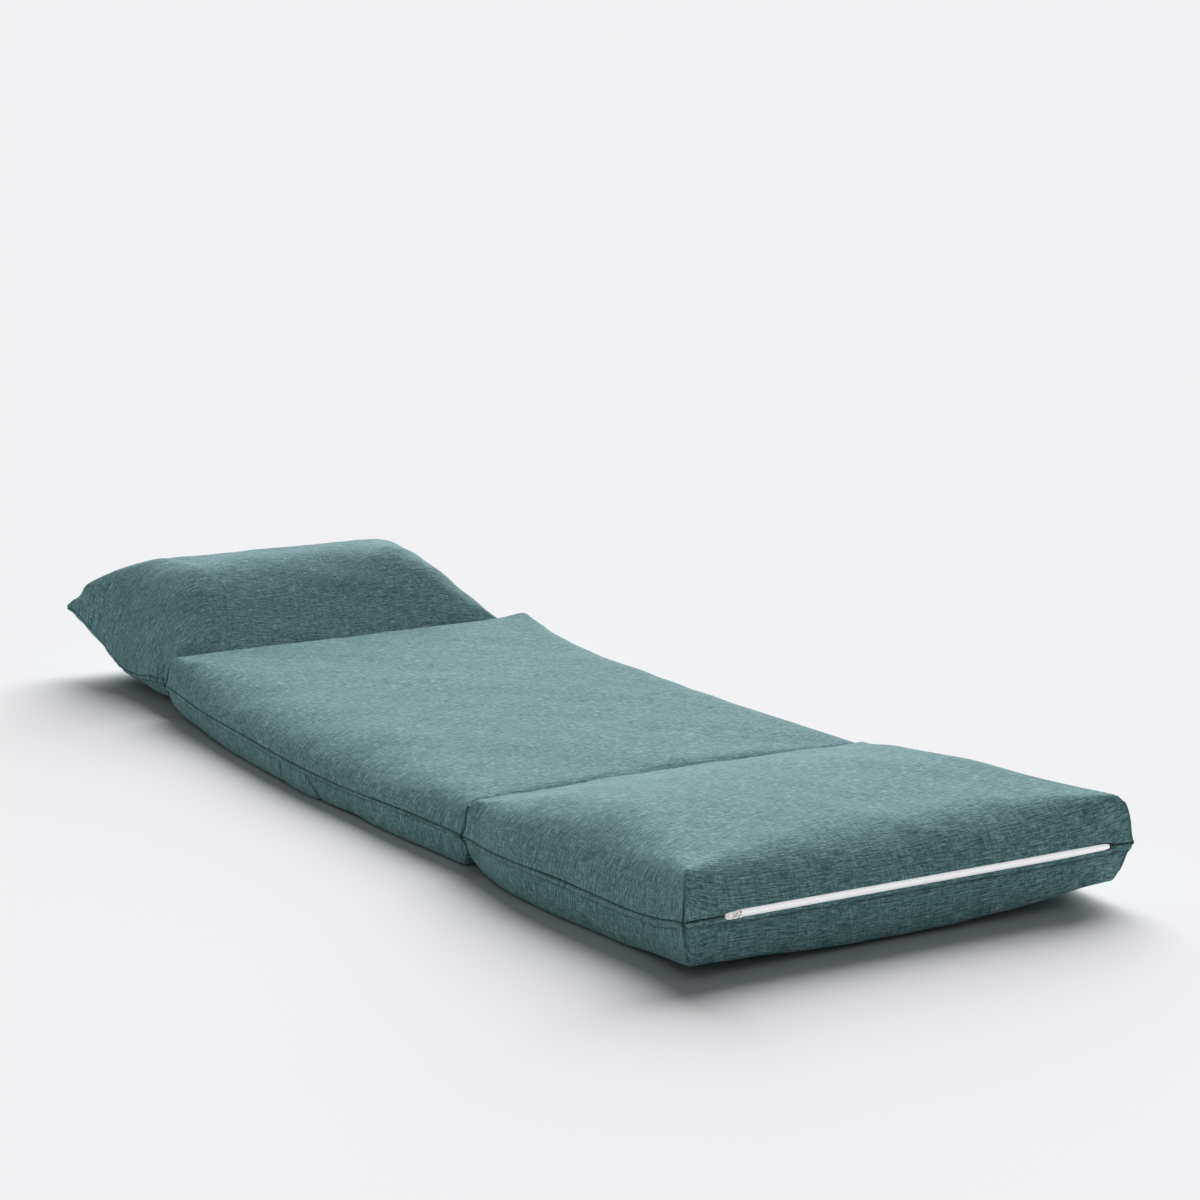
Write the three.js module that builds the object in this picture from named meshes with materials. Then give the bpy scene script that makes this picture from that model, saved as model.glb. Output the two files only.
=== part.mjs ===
// A folding chair bed, laid out flat: a foot cushion, a seat and back mattress on a ratcheted steel frame,
// and a soft pillow, all in one woven cloth. Millimetres, +X across, +Y towards the pillow, +Z up.
// The origin is on the floor, under the middle of the bed.
import * as THREE from "three";

// Driving dimensions of the bed
const width = 680;
const footLength = 565;
const seatLength = 505;
const backLength = 520;
const pillowLength = 415;
const mattressHeight = 102;
const footHeight = 146;
const pillowHeight = 212;

// Cloth, clearances and where one section may bend
const clothWall = 2;
const touchGap = 0.3;
const bendReach = 68;
const neckReach = 65;

// Steel frame inside the mattress
const tubeDiameter = 19;
const crossTubeDiameter = 16;
const frameAxisHeight = 45;
const frameSideInset = 50;
const frameEndInset = 42;
const frameCornerRadius = 45;
const tubeEndReach = 42;
const strapWidth = 50;
const strapThickness = 2;
const strapCount = 3;

// Ratchet hinges between the seat frame and the back frame
const hingePlateThickness = 3;
const hingePlateRadius = 26;
const hingeTangHalf = 13;
const gearThickness = 4;
const gearTipRadius = 19;
const gearRootRadius = 16.2;
const gearTangHalf = 9;
const toothAngle = 15;
const pivotRadius = 4;
const pivotHeadRadius = 8;
const rivetHeadThickness = 2;
const pawlPinRadius = 2;
const pawlPinHeadRadius = 3.6;
const pawlBossRadius = 4.2;
const springThickness = 0.6;

// Zipper across the front seam of the foot cushion
const zipperNearInset = 59;
const zipperFarInset = 29;
const tapeWidth = 3;
const tapeThickness = 0.8;
const coilHalfWidth = 2.6;
const coilDepth = 2.6;
const stopLength = 3;
const sliderLength = 11;
const sliderWall = 1.2;
const pullLength = 18;
const pullHalfWidth = 3.5;
const pullThickness = 1.2;
const bridgeWall = 0.8;

// Places worked out from the sizes above
const runningGap = 0.4;
const totalLength = footLength + seatLength + backLength + pillowLength;
const frontY = -totalLength / 2;
const footJointY = frontY + footLength;
const backJointY = footJointY + seatLength;
const pillowJointY = backJointY + backLength;
const headY = pillowJointY + pillowLength;
const frameHalf = width / 2 - frameSideInset;
const frameTop = frameAxisHeight + tubeDiameter / 2;
const frameUnder = frameAxisHeight - tubeDiameter / 2;
const zipperLength = width - zipperNearInset - zipperFarInset;
const zipperCentreX = (zipperNearInset - zipperFarInset) / 2;
const pullDrop = pullThickness + 2 * runningGap + bridgeWall;
const zipperStand = touchGap + coilDepth + touchGap + sliderWall + touchGap + pullDrop;

// Everyday colours and finishes
const clothTop = new THREE.MeshStandardMaterial({ color: 0x6e9a97, roughness: 0.95, metalness: 0 });
const clothUnder = new THREE.MeshStandardMaterial({ color: 0x4b706d, roughness: 0.95, metalness: 0 });
const foam = new THREE.MeshStandardMaterial({ color: 0xe8dfc2, roughness: 1, metalness: 0 });
const fibre = new THREE.MeshStandardMaterial({ color: 0xf2f0ea, roughness: 1, metalness: 0 });
const webbing = new THREE.MeshStandardMaterial({ color: 0x2f3032, roughness: 0.9, metalness: 0 });
const tubeSteel = new THREE.MeshStandardMaterial({ color: 0x3a3c3f, roughness: 0.45, metalness: 0.6 });
const zincSteel = new THREE.MeshStandardMaterial({ color: 0xb9bcc0, roughness: 0.35, metalness: 1 });
const zipperWhite = new THREE.MeshStandardMaterial({ color: 0xdadcdf, roughness: 0.5, metalness: 0 });

const bed = new THREE.Group();

function add(name, geometry, material, x = 0, y = 0, z = 0) {
  const mesh = new THREE.Mesh(geometry, material.clone());
  mesh.name = name;
  mesh.position.set(x, y, z);
  bed.add(mesh);
  return mesh;
}

// A smooth curve through evenly spaced values, read at t from 0 to 1
function evenCurve(values, t) {
  const last = values.length - 1;
  const place = Math.min(Math.max(t, 0), 1) * last;
  const i = Math.min(Math.floor(place), last - 1);
  const f = place - i;
  const a = values[Math.max(i - 1, 0)];
  const b = values[i];
  const c = values[i + 1];
  const d = values[Math.min(i + 2, last)];
  return b + 0.5 * f * (c - a + f * (2 * a - 5 * b + 4 * c - d + f * (3 * (b - c) + d - a)));
}

// How far a rounded edge has risen, 0 at the edge and 1 from one radius inwards
function edgeRise(distance, radius, power) {
  const left = 1 - Math.min(Math.max(distance / radius, 0), 1);
  return (1 - left ** power) ** (1 / power);
}

// Near the smaller of two shares, rounded where they are alike, as at a sewn corner
function softMin(a, b) {
  const sharp = 10;
  const least = 1e-6;
  return (Math.max(a, least) ** -sharp + Math.max(b, least) ** -sharp - 1) ** (-1 / sharp);
}

// Places along a length, close together on its two rounded ends
function edgePlaces(length, startRound, endRound, roundSteps, middleSteps) {
  const places = [];
  for (let i = 0; i < roundSteps; i += 1) {
    places.push(startRound * (1 - Math.cos((i / roundSteps) * (Math.PI / 2))));
  }
  for (let i = 0; i <= middleSteps; i += 1) {
    places.push(startRound + ((length - startRound - endRound) * i) / middleSteps);
  }
  for (let i = roundSteps - 1; i >= 0; i -= 1) {
    places.push(length - endRound * (1 - Math.cos((i / roundSteps) * (Math.PI / 2))));
  }
  return places.map((place) => place / length);
}

// A padded section: u from -1 to 1 across, t from 0 to 1 along, side 1 for the top half and -1 for the lower.
// Its two halves meet on a seam line that rises and falls, and its sides are drawn in between the corners.
// Its edges are crisp at the corners and fuller between them, and its underside lifts off the floor at the
// start.
function sectionForm(sizes) {
  return (u, t, side, inset) => {
    const half = width / 2 - sizes.startNarrow * (1 - t) - sizes.sideDraw * 4 * t * (1 - t) - inset;
    const start = sizes.start + inset;
    const end = sizes.end - sizes.endDraw * (1 - u * u) - inset;
    const x = u * half;
    const y = start + (end - start) * t;
    const round = side > 0 ? sizes.topRound : sizes.lowerRound;
    const seam = evenCurve(sizes.seamShares, t) * sizes.height;
    const lift = sizes.lift * Math.max(1 - (y - sizes.start) / sizes.liftReach, 0) ** 2;
    const full = side > 0 ? evenCurve(sizes.topShares, t) * sizes.height - seam : seam + sizes.settle - lift;
    const lengthSwell = 1 - (2 * t - 1) ** 4;
    const widthSwell = 1 - u ** 4;
    const across = edgeRise(half - Math.abs(x), round.side + round.sideSwell * lengthSwell, round.power);
    const atStart = edgeRise(y - start, round.start + round.startSwell * widthSwell, round.power);
    const atEnd = edgeRise(end - y, round.end + round.endSwell * widthSwell, round.power);
    const crown = 1 - sizes.crownShare * (side > 0 ? u * u : 0);
    const z = seam + side * (full * crown - inset) * softMin(across, atStart * atEnd);
    return new THREE.Vector3(x, y, side > 0 ? z + touchGap / 2 : Math.max(z - touchGap / 2, inset));
  };
}

// The closed body between an upper and a lower surface that share a grid
function bodyBetween(upper, lower, us, ts) {
  const points = [];
  for (const surface of [upper, lower]) {
    for (const t of ts) {
      for (const u of us) {
        const p = surface(u, t);
        points.push(p.x, p.y, p.z);
      }
    }
  }
  const wide = us.length;
  const deep = ts.length;
  const under = wide * deep;
  const faces = [];
  const quad = (a, b, c, d) => faces.push(a, b, c, a, c, d);
  for (let j = 0; j < deep - 1; j += 1) {
    for (let i = 0; i < wide - 1; i += 1) {
      const a = j * wide + i;
      quad(a, a + 1, a + 1 + wide, a + wide);
      quad(under + a, under + a + wide, under + a + 1 + wide, under + a + 1);
    }
  }
  const rim = [];
  for (let i = 0; i < wide - 1; i += 1) rim.push(i);
  for (let j = 0; j < deep - 1; j += 1) rim.push(j * wide + wide - 1);
  for (let i = wide - 1; i > 0; i -= 1) rim.push((deep - 1) * wide + i);
  for (let j = deep - 1; j > 0; j -= 1) rim.push(j * wide);
  rim.forEach((a, k) => {
    const b = rim[(k + 1) % rim.length];
    quad(a, under + a, under + b, b);
  });
  const geometry = new THREE.BufferGeometry();
  geometry.setAttribute("position", new THREE.Float32BufferAttribute(points, 3));
  geometry.setIndex(faces);
  geometry.computeVertexNormals();
  return geometry;
}

// The cloth of one half of a section, over the places given across and along it
function coverHalf(form, side, across, ts) {
  const us = across.map((place) => 2 * place - 1);
  const outer = (u, t) => form(u, t, side, 0);
  const inner = (u, t) => form(u, t, side, clothWall);
  return side > 0 ? bodyBetween(outer, inner, us, ts) : bodyBetween(inner, outer, us, ts);
}

// Places from a list that lie between two cuts, with the cuts themselves
function between(places, from, to) {
  const leastShare = 0.002;
  return [from, ...places.filter((t) => t > from + leastShare && t < to - leastShare), to];
}

// Two lists of places as one, without near doubles
function merged(a, b) {
  const leastShare = 0.008;
  const all = [...a, ...b].sort((p, q) => p - q);
  const last = all.length - 1;
  const clear = (i) => all[i] - all[i - 1] > leastShare && all[i] < 1 - leastShare;
  return all.filter((place, i) => i === 0 || i === last || clear(i));
}

const fillInset = clothWall + touchGap;
const fillEdge = 6;

// A filling shares its cover's places, and stops a little inside the seam
function fillPlaces(places, length) {
  const edge = fillEdge / length;
  return places.filter((place) => place >= edge && place <= 1 - edge);
}

// Mattress, cut into seat, bend and back
const mattressSizes = {
  start: footJointY + touchGap,
  end: pillowJointY - touchGap,
  height: mattressHeight,
  seamShares: [0.448, 0.42, 0.38, 0.4, 0.446, 0.508],
  topShares: [0.95, 0.98, 1, 1, 1, 1],
  settle: 2,
  lift: 0,
  liftReach: 100,
  sideDraw: 4,
  endDraw: 0,
  startNarrow: 0,
  crownShare: 0.07,
  topRound: { side: 24, sideSwell: 34, start: 28, startSwell: 16, end: 24, endSwell: 10, power: 2.3 },
  lowerRound: { side: 10, sideSwell: 0, start: 30, startSwell: 0, end: 22, endSwell: 0, power: 2 },
};
const mattress = sectionForm(mattressSizes);
const mattressLength = mattressSizes.end - mattressSizes.start;
const edgeSteps = 5;
const mattressAcrossSteps = 4;
const mattressAlongSteps = 8;
const fullSide = (round) => round.side + round.sideSwell;
const fullStart = (round) => round.start + round.startSwell;
const fullEnd = (round) => round.end + round.endSwell;
const acrossPlaces = (round, roundSteps, middleSteps) => {
  return edgePlaces(width, fullSide(round), fullSide(round), roundSteps, middleSteps);
};
const alongPlaces = (round, span, roundSteps, middleSteps) => {
  return edgePlaces(span, fullStart(round), fullEnd(round), roundSteps, middleSteps);
};
const acrossMattress = (round) => acrossPlaces(round, edgeSteps, mattressAcrossSteps);
const alongMattress = (round) => alongPlaces(round, mattressLength, edgeSteps, mattressAlongSteps);
const mattressPlace = (y) => (y - mattressSizes.start) / mattressLength;
const bendFrom = mattressPlace(backJointY - bendReach);
const bendTo = mattressPlace(backJointY + bendReach);
const cutGap = touchGap / mattressLength;
const halves = [
  { end: "top", side: 1, round: mattressSizes.topRound, material: clothTop },
  { end: "bottom", side: -1, round: mattressSizes.lowerRound, material: clothUnder },
];
for (const half of halves) {
  const us = acrossMattress(half.round);
  const ts = alongMattress(half.round);
  const bendName = half.side > 0 ? "bend_cover_top" : "bend_gusset";
  const seatTs = between(ts, 0, bendFrom - cutGap);
  const backTs = between(ts, bendTo + cutGap, 1);
  add(`seat_cover_${half.end}`, coverHalf(mattress, half.side, us, seatTs), half.material);
  add(bendName, coverHalf(mattress, half.side, us, between(ts, bendFrom, bendTo)), half.material);
  add(`back_cover_${half.end}`, coverHalf(mattress, half.side, us, backTs), half.material);
}

// Foam above and below the frame: the mattress form on one face, flat against the frame on the other
function mattressFoam(side, from, to) {
  const round = side > 0 ? mattressSizes.topRound : mattressSizes.lowerRound;
  const us = fillPlaces(acrossMattress(round), width).map((place) => 2 * place - 1);
  const places = fillPlaces(alongMattress(round), mattressLength);
  const ts = between(places, Math.max(from, places[0]), Math.min(to, places[places.length - 1]));
  const level = side > 0 ? frameTop + strapThickness + 2 * touchGap : frameUnder - touchGap;
  const padded = (u, t) => mattress(u, t, side, fillInset);
  const flat = (u, t) => mattress(u, t, side, fillInset).setZ(level);
  return side > 0 ? bodyBetween(padded, flat, us, ts) : bodyBetween(flat, padded, us, ts);
}
add("seat_foam", mattressFoam(1, 0, bendFrom - cutGap), foam);
add("seat_under_pad", mattressFoam(-1, 0, bendFrom - cutGap), foam);
add("back_foam", mattressFoam(1, bendTo + cutGap, 1), foam);
add("back_under_pad", mattressFoam(-1, bendTo + cutGap, 1), foam);

// Foam that fills the bend between the two ratchet hinges
const bendFoamShares = [-1, -0.5, 0, 0.5, 1];

function bendFoam() {
  const reachShare = (frameHalf - tubeDiameter) / (width / 2);
  const us = bendFoamShares.map((u) => u * reachShare);
  const ts = between(alongMattress(mattressSizes.topRound), bendFrom + cutGap, bendTo - cutGap);
  const upper = (u, t) => mattress(u, t, 1, fillInset);
  const lower = (u, t) => mattress(u, t, -1, fillInset);
  return bodyBetween(upper, lower, us, ts);
}
add("bend_foam", bendFoam(), foam);

// A centre line with one ring of the tube at each of its points
class RingPath extends THREE.Curve {
  constructor(points) {
    super();
    this.points = points;
  }

  getUtoTmapping(u) {
    return u;
  }

  getPoint(t, target = new THREE.Vector3()) {
    const place = t * (this.points.length - 1);
    const i = Math.min(Math.floor(place), this.points.length - 2);
    return target.lerpVectors(this.points[i], this.points[i + 1], place - i);
  }
}

function tube(points, diameter) {
  const section = new THREE.Shape().absarc(0, 0, diameter / 2, 0, 2 * Math.PI, false);
  const path = new RingPath(points);
  const form = { steps: points.length - 1, extrudePath: path, curveSegments: 6 };
  return new THREE.ExtrudeGeometry(section, form);
}

// A U of bent tube: two legs that end near the hinge axis, and a cross piece at yEnd
function frameTube(yHinge, yEnd) {
  const away = Math.sign(yEnd - yHinge);
  const cornerSteps = 6;
  const points = [new THREE.Vector3(-frameHalf, yHinge, frameAxisHeight)];
  for (const side of [-1, 1]) {
    for (let i = 0; i <= cornerSteps; i += 1) {
      const step = side < 0 ? i : cornerSteps - i;
      const angle = (step / cornerSteps) * (Math.PI / 2);
      const x = side * (frameHalf - frameCornerRadius + frameCornerRadius * Math.cos(angle));
      const y = yEnd - away * frameCornerRadius * (1 - Math.sin(angle));
      points.push(new THREE.Vector3(x, y, frameAxisHeight));
    }
  }
  points.push(new THREE.Vector3(frameHalf, yHinge, frameAxisHeight));
  return tube(points, tubeDiameter);
}

function crossTube(y) {
  const reach = frameHalf - tubeDiameter / 2 - touchGap;
  const ends = [-reach, reach].map((x) => new THREE.Vector3(x, y, frameAxisHeight));
  return tube(ends, crossTubeDiameter);
}

// Foam that fills the window of a frame, from its cross tube to its bent end
function frameFiller(yCross, yEnd) {
  const away = Math.sign(yEnd - yCross);
  const half = frameHalf - tubeDiameter / 2 - touchGap;
  const start = yCross + away * (crossTubeDiameter / 2 + touchGap);
  const end = yEnd - away * (tubeDiameter / 2 + touchGap);
  const corner = frameCornerRadius - tubeDiameter / 2 - touchGap;
  const shape = new THREE.Shape();
  shape.moveTo(-half, start);
  if (away < 0) {
    shape.lineTo(-half, end + corner);
    shape.absarc(-half + corner, end + corner, corner, Math.PI, 1.5 * Math.PI, false);
    shape.absarc(half - corner, end + corner, corner, 1.5 * Math.PI, 2 * Math.PI, false);
    shape.lineTo(half, start);
  } else {
    shape.lineTo(half, start);
    shape.absarc(half - corner, end - corner, corner, 0, Math.PI / 2, false);
    shape.absarc(-half + corner, end - corner, corner, Math.PI / 2, Math.PI, false);
  }
  return new THREE.ExtrudeGeometry(shape, { depth: tubeDiameter, bevelEnabled: false, curveSegments: 6 });
}

// Elastic straps over the frame, which carry the foam
function addStraps(name, yFrom, yTo) {
  for (let i = 0; i < strapCount; i += 1) {
    const y = yFrom + ((yTo - yFrom) * (i + 0.5)) / strapCount;
    const band = new THREE.BoxGeometry(2 * frameHalf + tubeDiameter, strapWidth, strapThickness);
    add(`${name}_strap_${i + 1}`, band, webbing, 0, y, frameTop + touchGap + strapThickness / 2);
  }
}

const seatTubeEnd = backJointY - tubeEndReach;
const backTubeEnd = backJointY + tubeEndReach;
const seatFrameEnd = footJointY + frameEndInset;
const backFrameEnd = pillowJointY - frameEndInset;
add("seat_frame_tube", frameTube(seatTubeEnd, seatFrameEnd), tubeSteel);
add("back_frame_tube", frameTube(backTubeEnd, backFrameEnd), tubeSteel);
const seatCrossY = backJointY - bendReach - crossTubeDiameter;
const backCrossY = backJointY + bendReach + crossTubeDiameter;
add("seat_cross_tube", crossTube(seatCrossY), tubeSteel);
add("back_cross_tube", crossTube(backCrossY), tubeSteel);
add("seat_frame_filler", frameFiller(seatCrossY, seatFrameEnd), foam, 0, 0, frameUnder);
add("back_frame_filler", frameFiller(backCrossY, backFrameEnd), foam, 0, 0, frameUnder);
addStraps("seat", seatFrameEnd + tubeDiameter, backJointY - bendReach);
addStraps("back", backJointY + bendReach, backFrameEnd - tubeDiameter);

// Turns a shape drawn in (y, z) and extruded along +Z into one that is extruded along +X
const acrossBasis = new THREE.Matrix4().makeBasis(
  new THREE.Vector3(0, 1, 0),
  new THREE.Vector3(0, 0, 1),
  new THREE.Vector3(1, 0, 0),
);

function plateAcross(shape, thickness) {
  const form = { depth: thickness, bevelEnabled: false, curveSegments: 10 };
  const geometry = new THREE.ExtrudeGeometry(shape, form);
  geometry.translate(0, 0, -thickness / 2);
  return geometry.applyMatrix4(acrossBasis);
}

function roundHole(y, z, radius) {
  return new THREE.Path().absarc(y, z, radius, 0, 2 * Math.PI, true);
}

// Ratchet hinge, drawn round its own axis: the seat's two plates hold the back's toothed plate and a pawl
const hingeReach = tubeEndReach - touchGap;
const pawlPivotShares = [-1.29, 0.45];
const pawlTipShares = [-1.06, -0.21];
const hookBackShare = 0.24;
const hookInnerShare = 0.36;
const hookOuterShare = 0.57;
const hookRootShare = 0.21;
const pawlPivot = new THREE.Vector2(...pawlPivotShares).multiplyScalar(gearTipRadius);
const pawlTip = new THREE.Vector2(...pawlTipShares).multiplyScalar(gearTipRadius);
const pawlLength = pawlTip.distanceTo(pawlPivot);
const firstToothAngle = 192;
const firstTooth = -1;
const lastTooth = 7;

function seatPlateShape() {
  const corner = Math.asin(hingeTangHalf / hingePlateRadius);
  const shape = new THREE.Shape();
  shape.moveTo(-hingeReach, -hingeTangHalf);
  shape.lineTo(-hingePlateRadius * Math.cos(corner), -hingeTangHalf);
  shape.absarc(0, 0, hingePlateRadius, corner - Math.PI, Math.PI - corner, false);
  shape.lineTo(-hingeReach, hingeTangHalf);
  shape.holes.push(roundHole(0, 0, pivotRadius + touchGap));
  shape.holes.push(roundHole(pawlPivot.x, pawlPivot.y, pawlPinRadius + touchGap));
  return shape;
}

function gearShape() {
  const corner = Math.asin(gearTangHalf / gearTipRadius);
  const toRadians = Math.PI / 180;
  const at = (radius, angle) => [radius * Math.cos(angle), radius * Math.sin(angle)];
  const shape = new THREE.Shape();
  shape.moveTo(hingeReach, -gearTangHalf);
  shape.lineTo(hingeReach, gearTangHalf);
  shape.absarc(0, 0, gearTipRadius, corner, (firstToothAngle - lastTooth * toothAngle) * toRadians, false);
  for (let k = lastTooth; k > firstTooth; k -= 1) {
    const nextAngle = (firstToothAngle - (k - 1) * toothAngle) * toRadians;
    shape.lineTo(...at(gearRootRadius, nextAngle));
    shape.lineTo(...at(gearTipRadius, nextAngle));
  }
  const endAngle = (firstToothAngle - firstTooth * toothAngle) * toRadians;
  shape.absarc(0, 0, gearTipRadius, endAngle, 2 * Math.PI - corner, false);
  shape.holes.push(roundHole(0, 0, pivotRadius + touchGap));
  return shape;
}

// The pawl points down at the teeth, with a hook on the side towards the gear
function pawlShape() {
  const along = pawlTip.clone().sub(pawlPivot).normalize();
  const inward = new THREE.Vector2(-along.y, along.x);
  const hookBack = hookBackShare * pawlLength;
  const hookDepth = gearTipRadius - gearRootRadius;
  const point = (s, w) => pawlPivot.clone().addScaledVector(along, s).addScaledVector(inward, w);
  const tipInner = point(pawlLength, hookInnerShare * hookDepth);
  const tipOuter = point(pawlLength, -hookOuterShare * hookDepth);
  const hookRoot = point(pawlLength - hookBack, -hookRootShare * hookDepth);
  const inwardAngle = Math.atan2(inward.y, inward.x);
  const shape = new THREE.Shape();
  shape.moveTo(tipInner.x, tipInner.y);
  shape.lineTo(hookRoot.x, hookRoot.y);
  shape.absarc(pawlPivot.x, pawlPivot.y, pawlBossRadius, inwardAngle, inwardAngle + Math.PI, false);
  shape.lineTo(tipOuter.x, tipOuter.y);
  shape.holes.push(roundHole(pawlPivot.x, pawlPivot.y, pawlPinRadius + touchGap));
  return shape;
}

// A bent leaf from the end of the tube to the back of the pawl
function pawlSpringShape() {
  const along = pawlTip.clone().sub(pawlPivot).normalize();
  const outward = new THREE.Vector2(along.y, -along.x);
  const hookOut = hookOuterShare * (gearTipRadius - gearRootRadius);
  const edge = pawlTip.clone().addScaledVector(outward, hookOut + touchGap);
  const heel = new THREE.Vector2(-hingeReach, edge.y - springThickness);
  const bend = new THREE.Vector2((heel.x + edge.x) / 2, edge.y - 3 * springThickness);
  const shape = new THREE.Shape();
  shape.moveTo(heel.x, heel.y);
  shape.lineTo(bend.x, bend.y);
  shape.lineTo(edge.x - springThickness, edge.y);
  shape.lineTo(edge.x - 2 * springThickness, edge.y + springThickness);
  shape.lineTo(bend.x, bend.y + springThickness);
  shape.lineTo(heel.x, heel.y + springThickness);
  return shape;
}

// A rivet along +X, its shank between two heads
const rivetFaceShare = 0.8;
const rivetSides = 16;

function rivet(shankRadius, headRadius, gripHalf) {
  const outer = gripHalf + rivetHeadThickness;
  const profile = [
    new THREE.Vector2(0, -outer),
    new THREE.Vector2(headRadius * rivetFaceShare, -outer),
    new THREE.Vector2(headRadius, -outer + rivetHeadThickness / 2),
    new THREE.Vector2(headRadius, -gripHalf),
    new THREE.Vector2(shankRadius, -gripHalf),
    new THREE.Vector2(shankRadius, gripHalf),
    new THREE.Vector2(headRadius, gripHalf),
    new THREE.Vector2(headRadius, outer - rivetHeadThickness / 2),
    new THREE.Vector2(headRadius * rivetFaceShare, outer),
    new THREE.Vector2(0, outer),
  ];
  return new THREE.LatheGeometry(profile, rivetSides).rotateZ(-Math.PI / 2);
}

const plateOffset = gearThickness / 2 + touchGap + hingePlateThickness / 2;
const rivetGrip = plateOffset + hingePlateThickness / 2 + touchGap;
for (const [name, sign] of [["left", -1], ["right", 1]]) {
  const place = [sign * frameHalf, backJointY, frameAxisHeight];
  const seatPlate = plateAcross(seatPlateShape(), hingePlateThickness);
  const outerX = place[0] + sign * plateOffset;
  const innerX = place[0] - sign * plateOffset;
  add(`${name}_hinge_outer_plate`, seatPlate, zincSteel, outerX, place[1], place[2]);
  add(`${name}_hinge_inner_plate`, seatPlate.clone(), zincSteel, innerX, place[1], place[2]);
  add(`${name}_ratchet_gear`, plateAcross(gearShape(), gearThickness), zincSteel, ...place);
  add(`${name}_pawl`, plateAcross(pawlShape(), gearThickness), zincSteel, ...place);
  add(`${name}_pawl_spring`, plateAcross(pawlSpringShape(), gearThickness), zincSteel, ...place);
  add(`${name}_pivot_rivet`, rivet(pivotRadius, pivotHeadRadius, rivetGrip), zincSteel, ...place);
  const pin = rivet(pawlPinRadius, pawlPinHeadRadius, rivetGrip);
  add(`${name}_pawl_rivet`, pin, zincSteel, place[0], place[1] + pawlPivot.x, place[2] + pawlPivot.y);
}

// Foot cushion, built from its front edge to the joint
const footSizes = {
  start: frontY + zipperStand,
  end: footJointY - touchGap,
  height: footHeight,
  seamShares: [0.555, 0.432, 0.39, 0.364, 0.313],
  topShares: [1, 1, 0.97, 0.89, 0.8],
  settle: 2,
  lift: 22,
  liftReach: 240,
  sideDraw: 6,
  endDraw: 0,
  startNarrow: 0,
  crownShare: 0.03,
  topRound: { side: 24, sideSwell: 46, start: 20, startSwell: 50, end: 66, endSwell: 14, power: 2.3 },
  lowerRound: { side: 22, sideSwell: 0, start: 14, startSwell: 0, end: 28, endSwell: 0, power: 2 },
};
const foot = sectionForm(footSizes);
const footSpan = footSizes.end - footSizes.start;
const footAcrossSteps = 4;
const footTopSteps = 3;
const footLowerSteps = 4;
const footAcross = acrossPlaces(footSizes.topRound, edgeSteps, footAcrossSteps);
const footAlong = merged(
  alongPlaces(footSizes.topRound, footSpan, edgeSteps, footTopSteps),
  alongPlaces(footSizes.lowerRound, footSpan, edgeSteps, footLowerSteps),
);
add("foot_cover_top", coverHalf(foot, 1, footAcross, footAlong), clothTop);
add("foot_cover_bottom", coverHalf(foot, -1, footAcross, footAlong), clothUnder);

function fillBetween(form, across, ts) {
  const us = fillPlaces(across, width).map((place) => 2 * place - 1);
  return bodyBetween((u, t) => form(u, t, 1, fillInset), (u, t) => form(u, t, -1, fillInset), us, ts);
}
add("foot_foam", fillBetween(foot, footAcross, fillPlaces(footAlong, footSpan)), foam);

// Cloth strip along the bottom of the joint, in the hollow under the two rounded edges
const hingeStripShare = 0.6;
const hingeStripHalf = hingeStripShare * mattressSizes.lowerRound.start;
const hingeStripThickness = 1.2;
const stripWidth = width - 2 * frameSideInset;
const hingeStrip = new THREE.BoxGeometry(stripWidth, 2 * hingeStripHalf, hingeStripThickness);
add("foot_hinge_strip", hingeStrip, clothUnder, 0, footJointY, touchGap + hingeStripThickness / 2);

// Zipper on the front seam
const zipperY = footSizes.start - touchGap;
const zipperZ = footSizes.seamShares[0] * footHeight;
const coilFront = zipperY - coilDepth;
const tapeLength = zipperLength + 2 * stopLength;
for (const [name, sign] of [["upper", 1], ["lower", -1]]) {
  const tape = new THREE.BoxGeometry(tapeLength, tapeThickness, tapeWidth);
  const tapeZ = zipperZ + sign * (coilHalfWidth + touchGap + tapeWidth / 2);
  add(`zipper_tape_${name}`, tape, zipperWhite, zipperCentreX, zipperY - tapeThickness / 2, tapeZ);
}

function coilShape() {
  const shape = new THREE.Shape();
  shape.moveTo(0, -coilHalfWidth);
  shape.lineTo(0, coilHalfWidth);
  shape.absellipse(0, 0, coilDepth, coilHalfWidth, Math.PI / 2, 1.5 * Math.PI, false, 0);
  return shape;
}
const coilLength = zipperLength - 2 * touchGap;
add("zipper_coil", plateAcross(coilShape(), coilLength), zipperWhite, zipperCentreX, zipperY, zipperZ);
for (const [name, sign] of [["near", -1], ["far", 1]]) {
  const stop = new THREE.BoxGeometry(stopLength, coilDepth, 2 * coilHalfWidth);
  const stopX = zipperCentreX + (sign * (zipperLength + stopLength)) / 2;
  add(`zipper_stop_${name}`, stop, zincSteel, stopX, zipperY - coilDepth / 2, zipperZ);
}

// Slider: a channel over the coil, with a bridge that holds the bar of the pull
const sliderX = zipperCentreX - zipperLength / 2 + pullLength;
const sliderHalf = coilHalfWidth + touchGap + sliderWall;
const flangeEnd = tapeThickness + touchGap;

function sliderShape() {
  const inside = coilDepth + touchGap;
  const shape = new THREE.Shape();
  shape.moveTo(-inside - sliderWall, -sliderHalf);
  shape.lineTo(-flangeEnd, -sliderHalf);
  shape.lineTo(-flangeEnd, -sliderHalf + sliderWall);
  shape.lineTo(-inside, -sliderHalf + sliderWall);
  shape.lineTo(-inside, sliderHalf - sliderWall);
  shape.lineTo(-flangeEnd, sliderHalf - sliderWall);
  shape.lineTo(-flangeEnd, sliderHalf);
  shape.lineTo(-inside - sliderWall, sliderHalf);
  return shape;
}
add("zipper_slider", plateAcross(sliderShape(), sliderLength), zincSteel, sliderX, zipperY, zipperZ);

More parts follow.
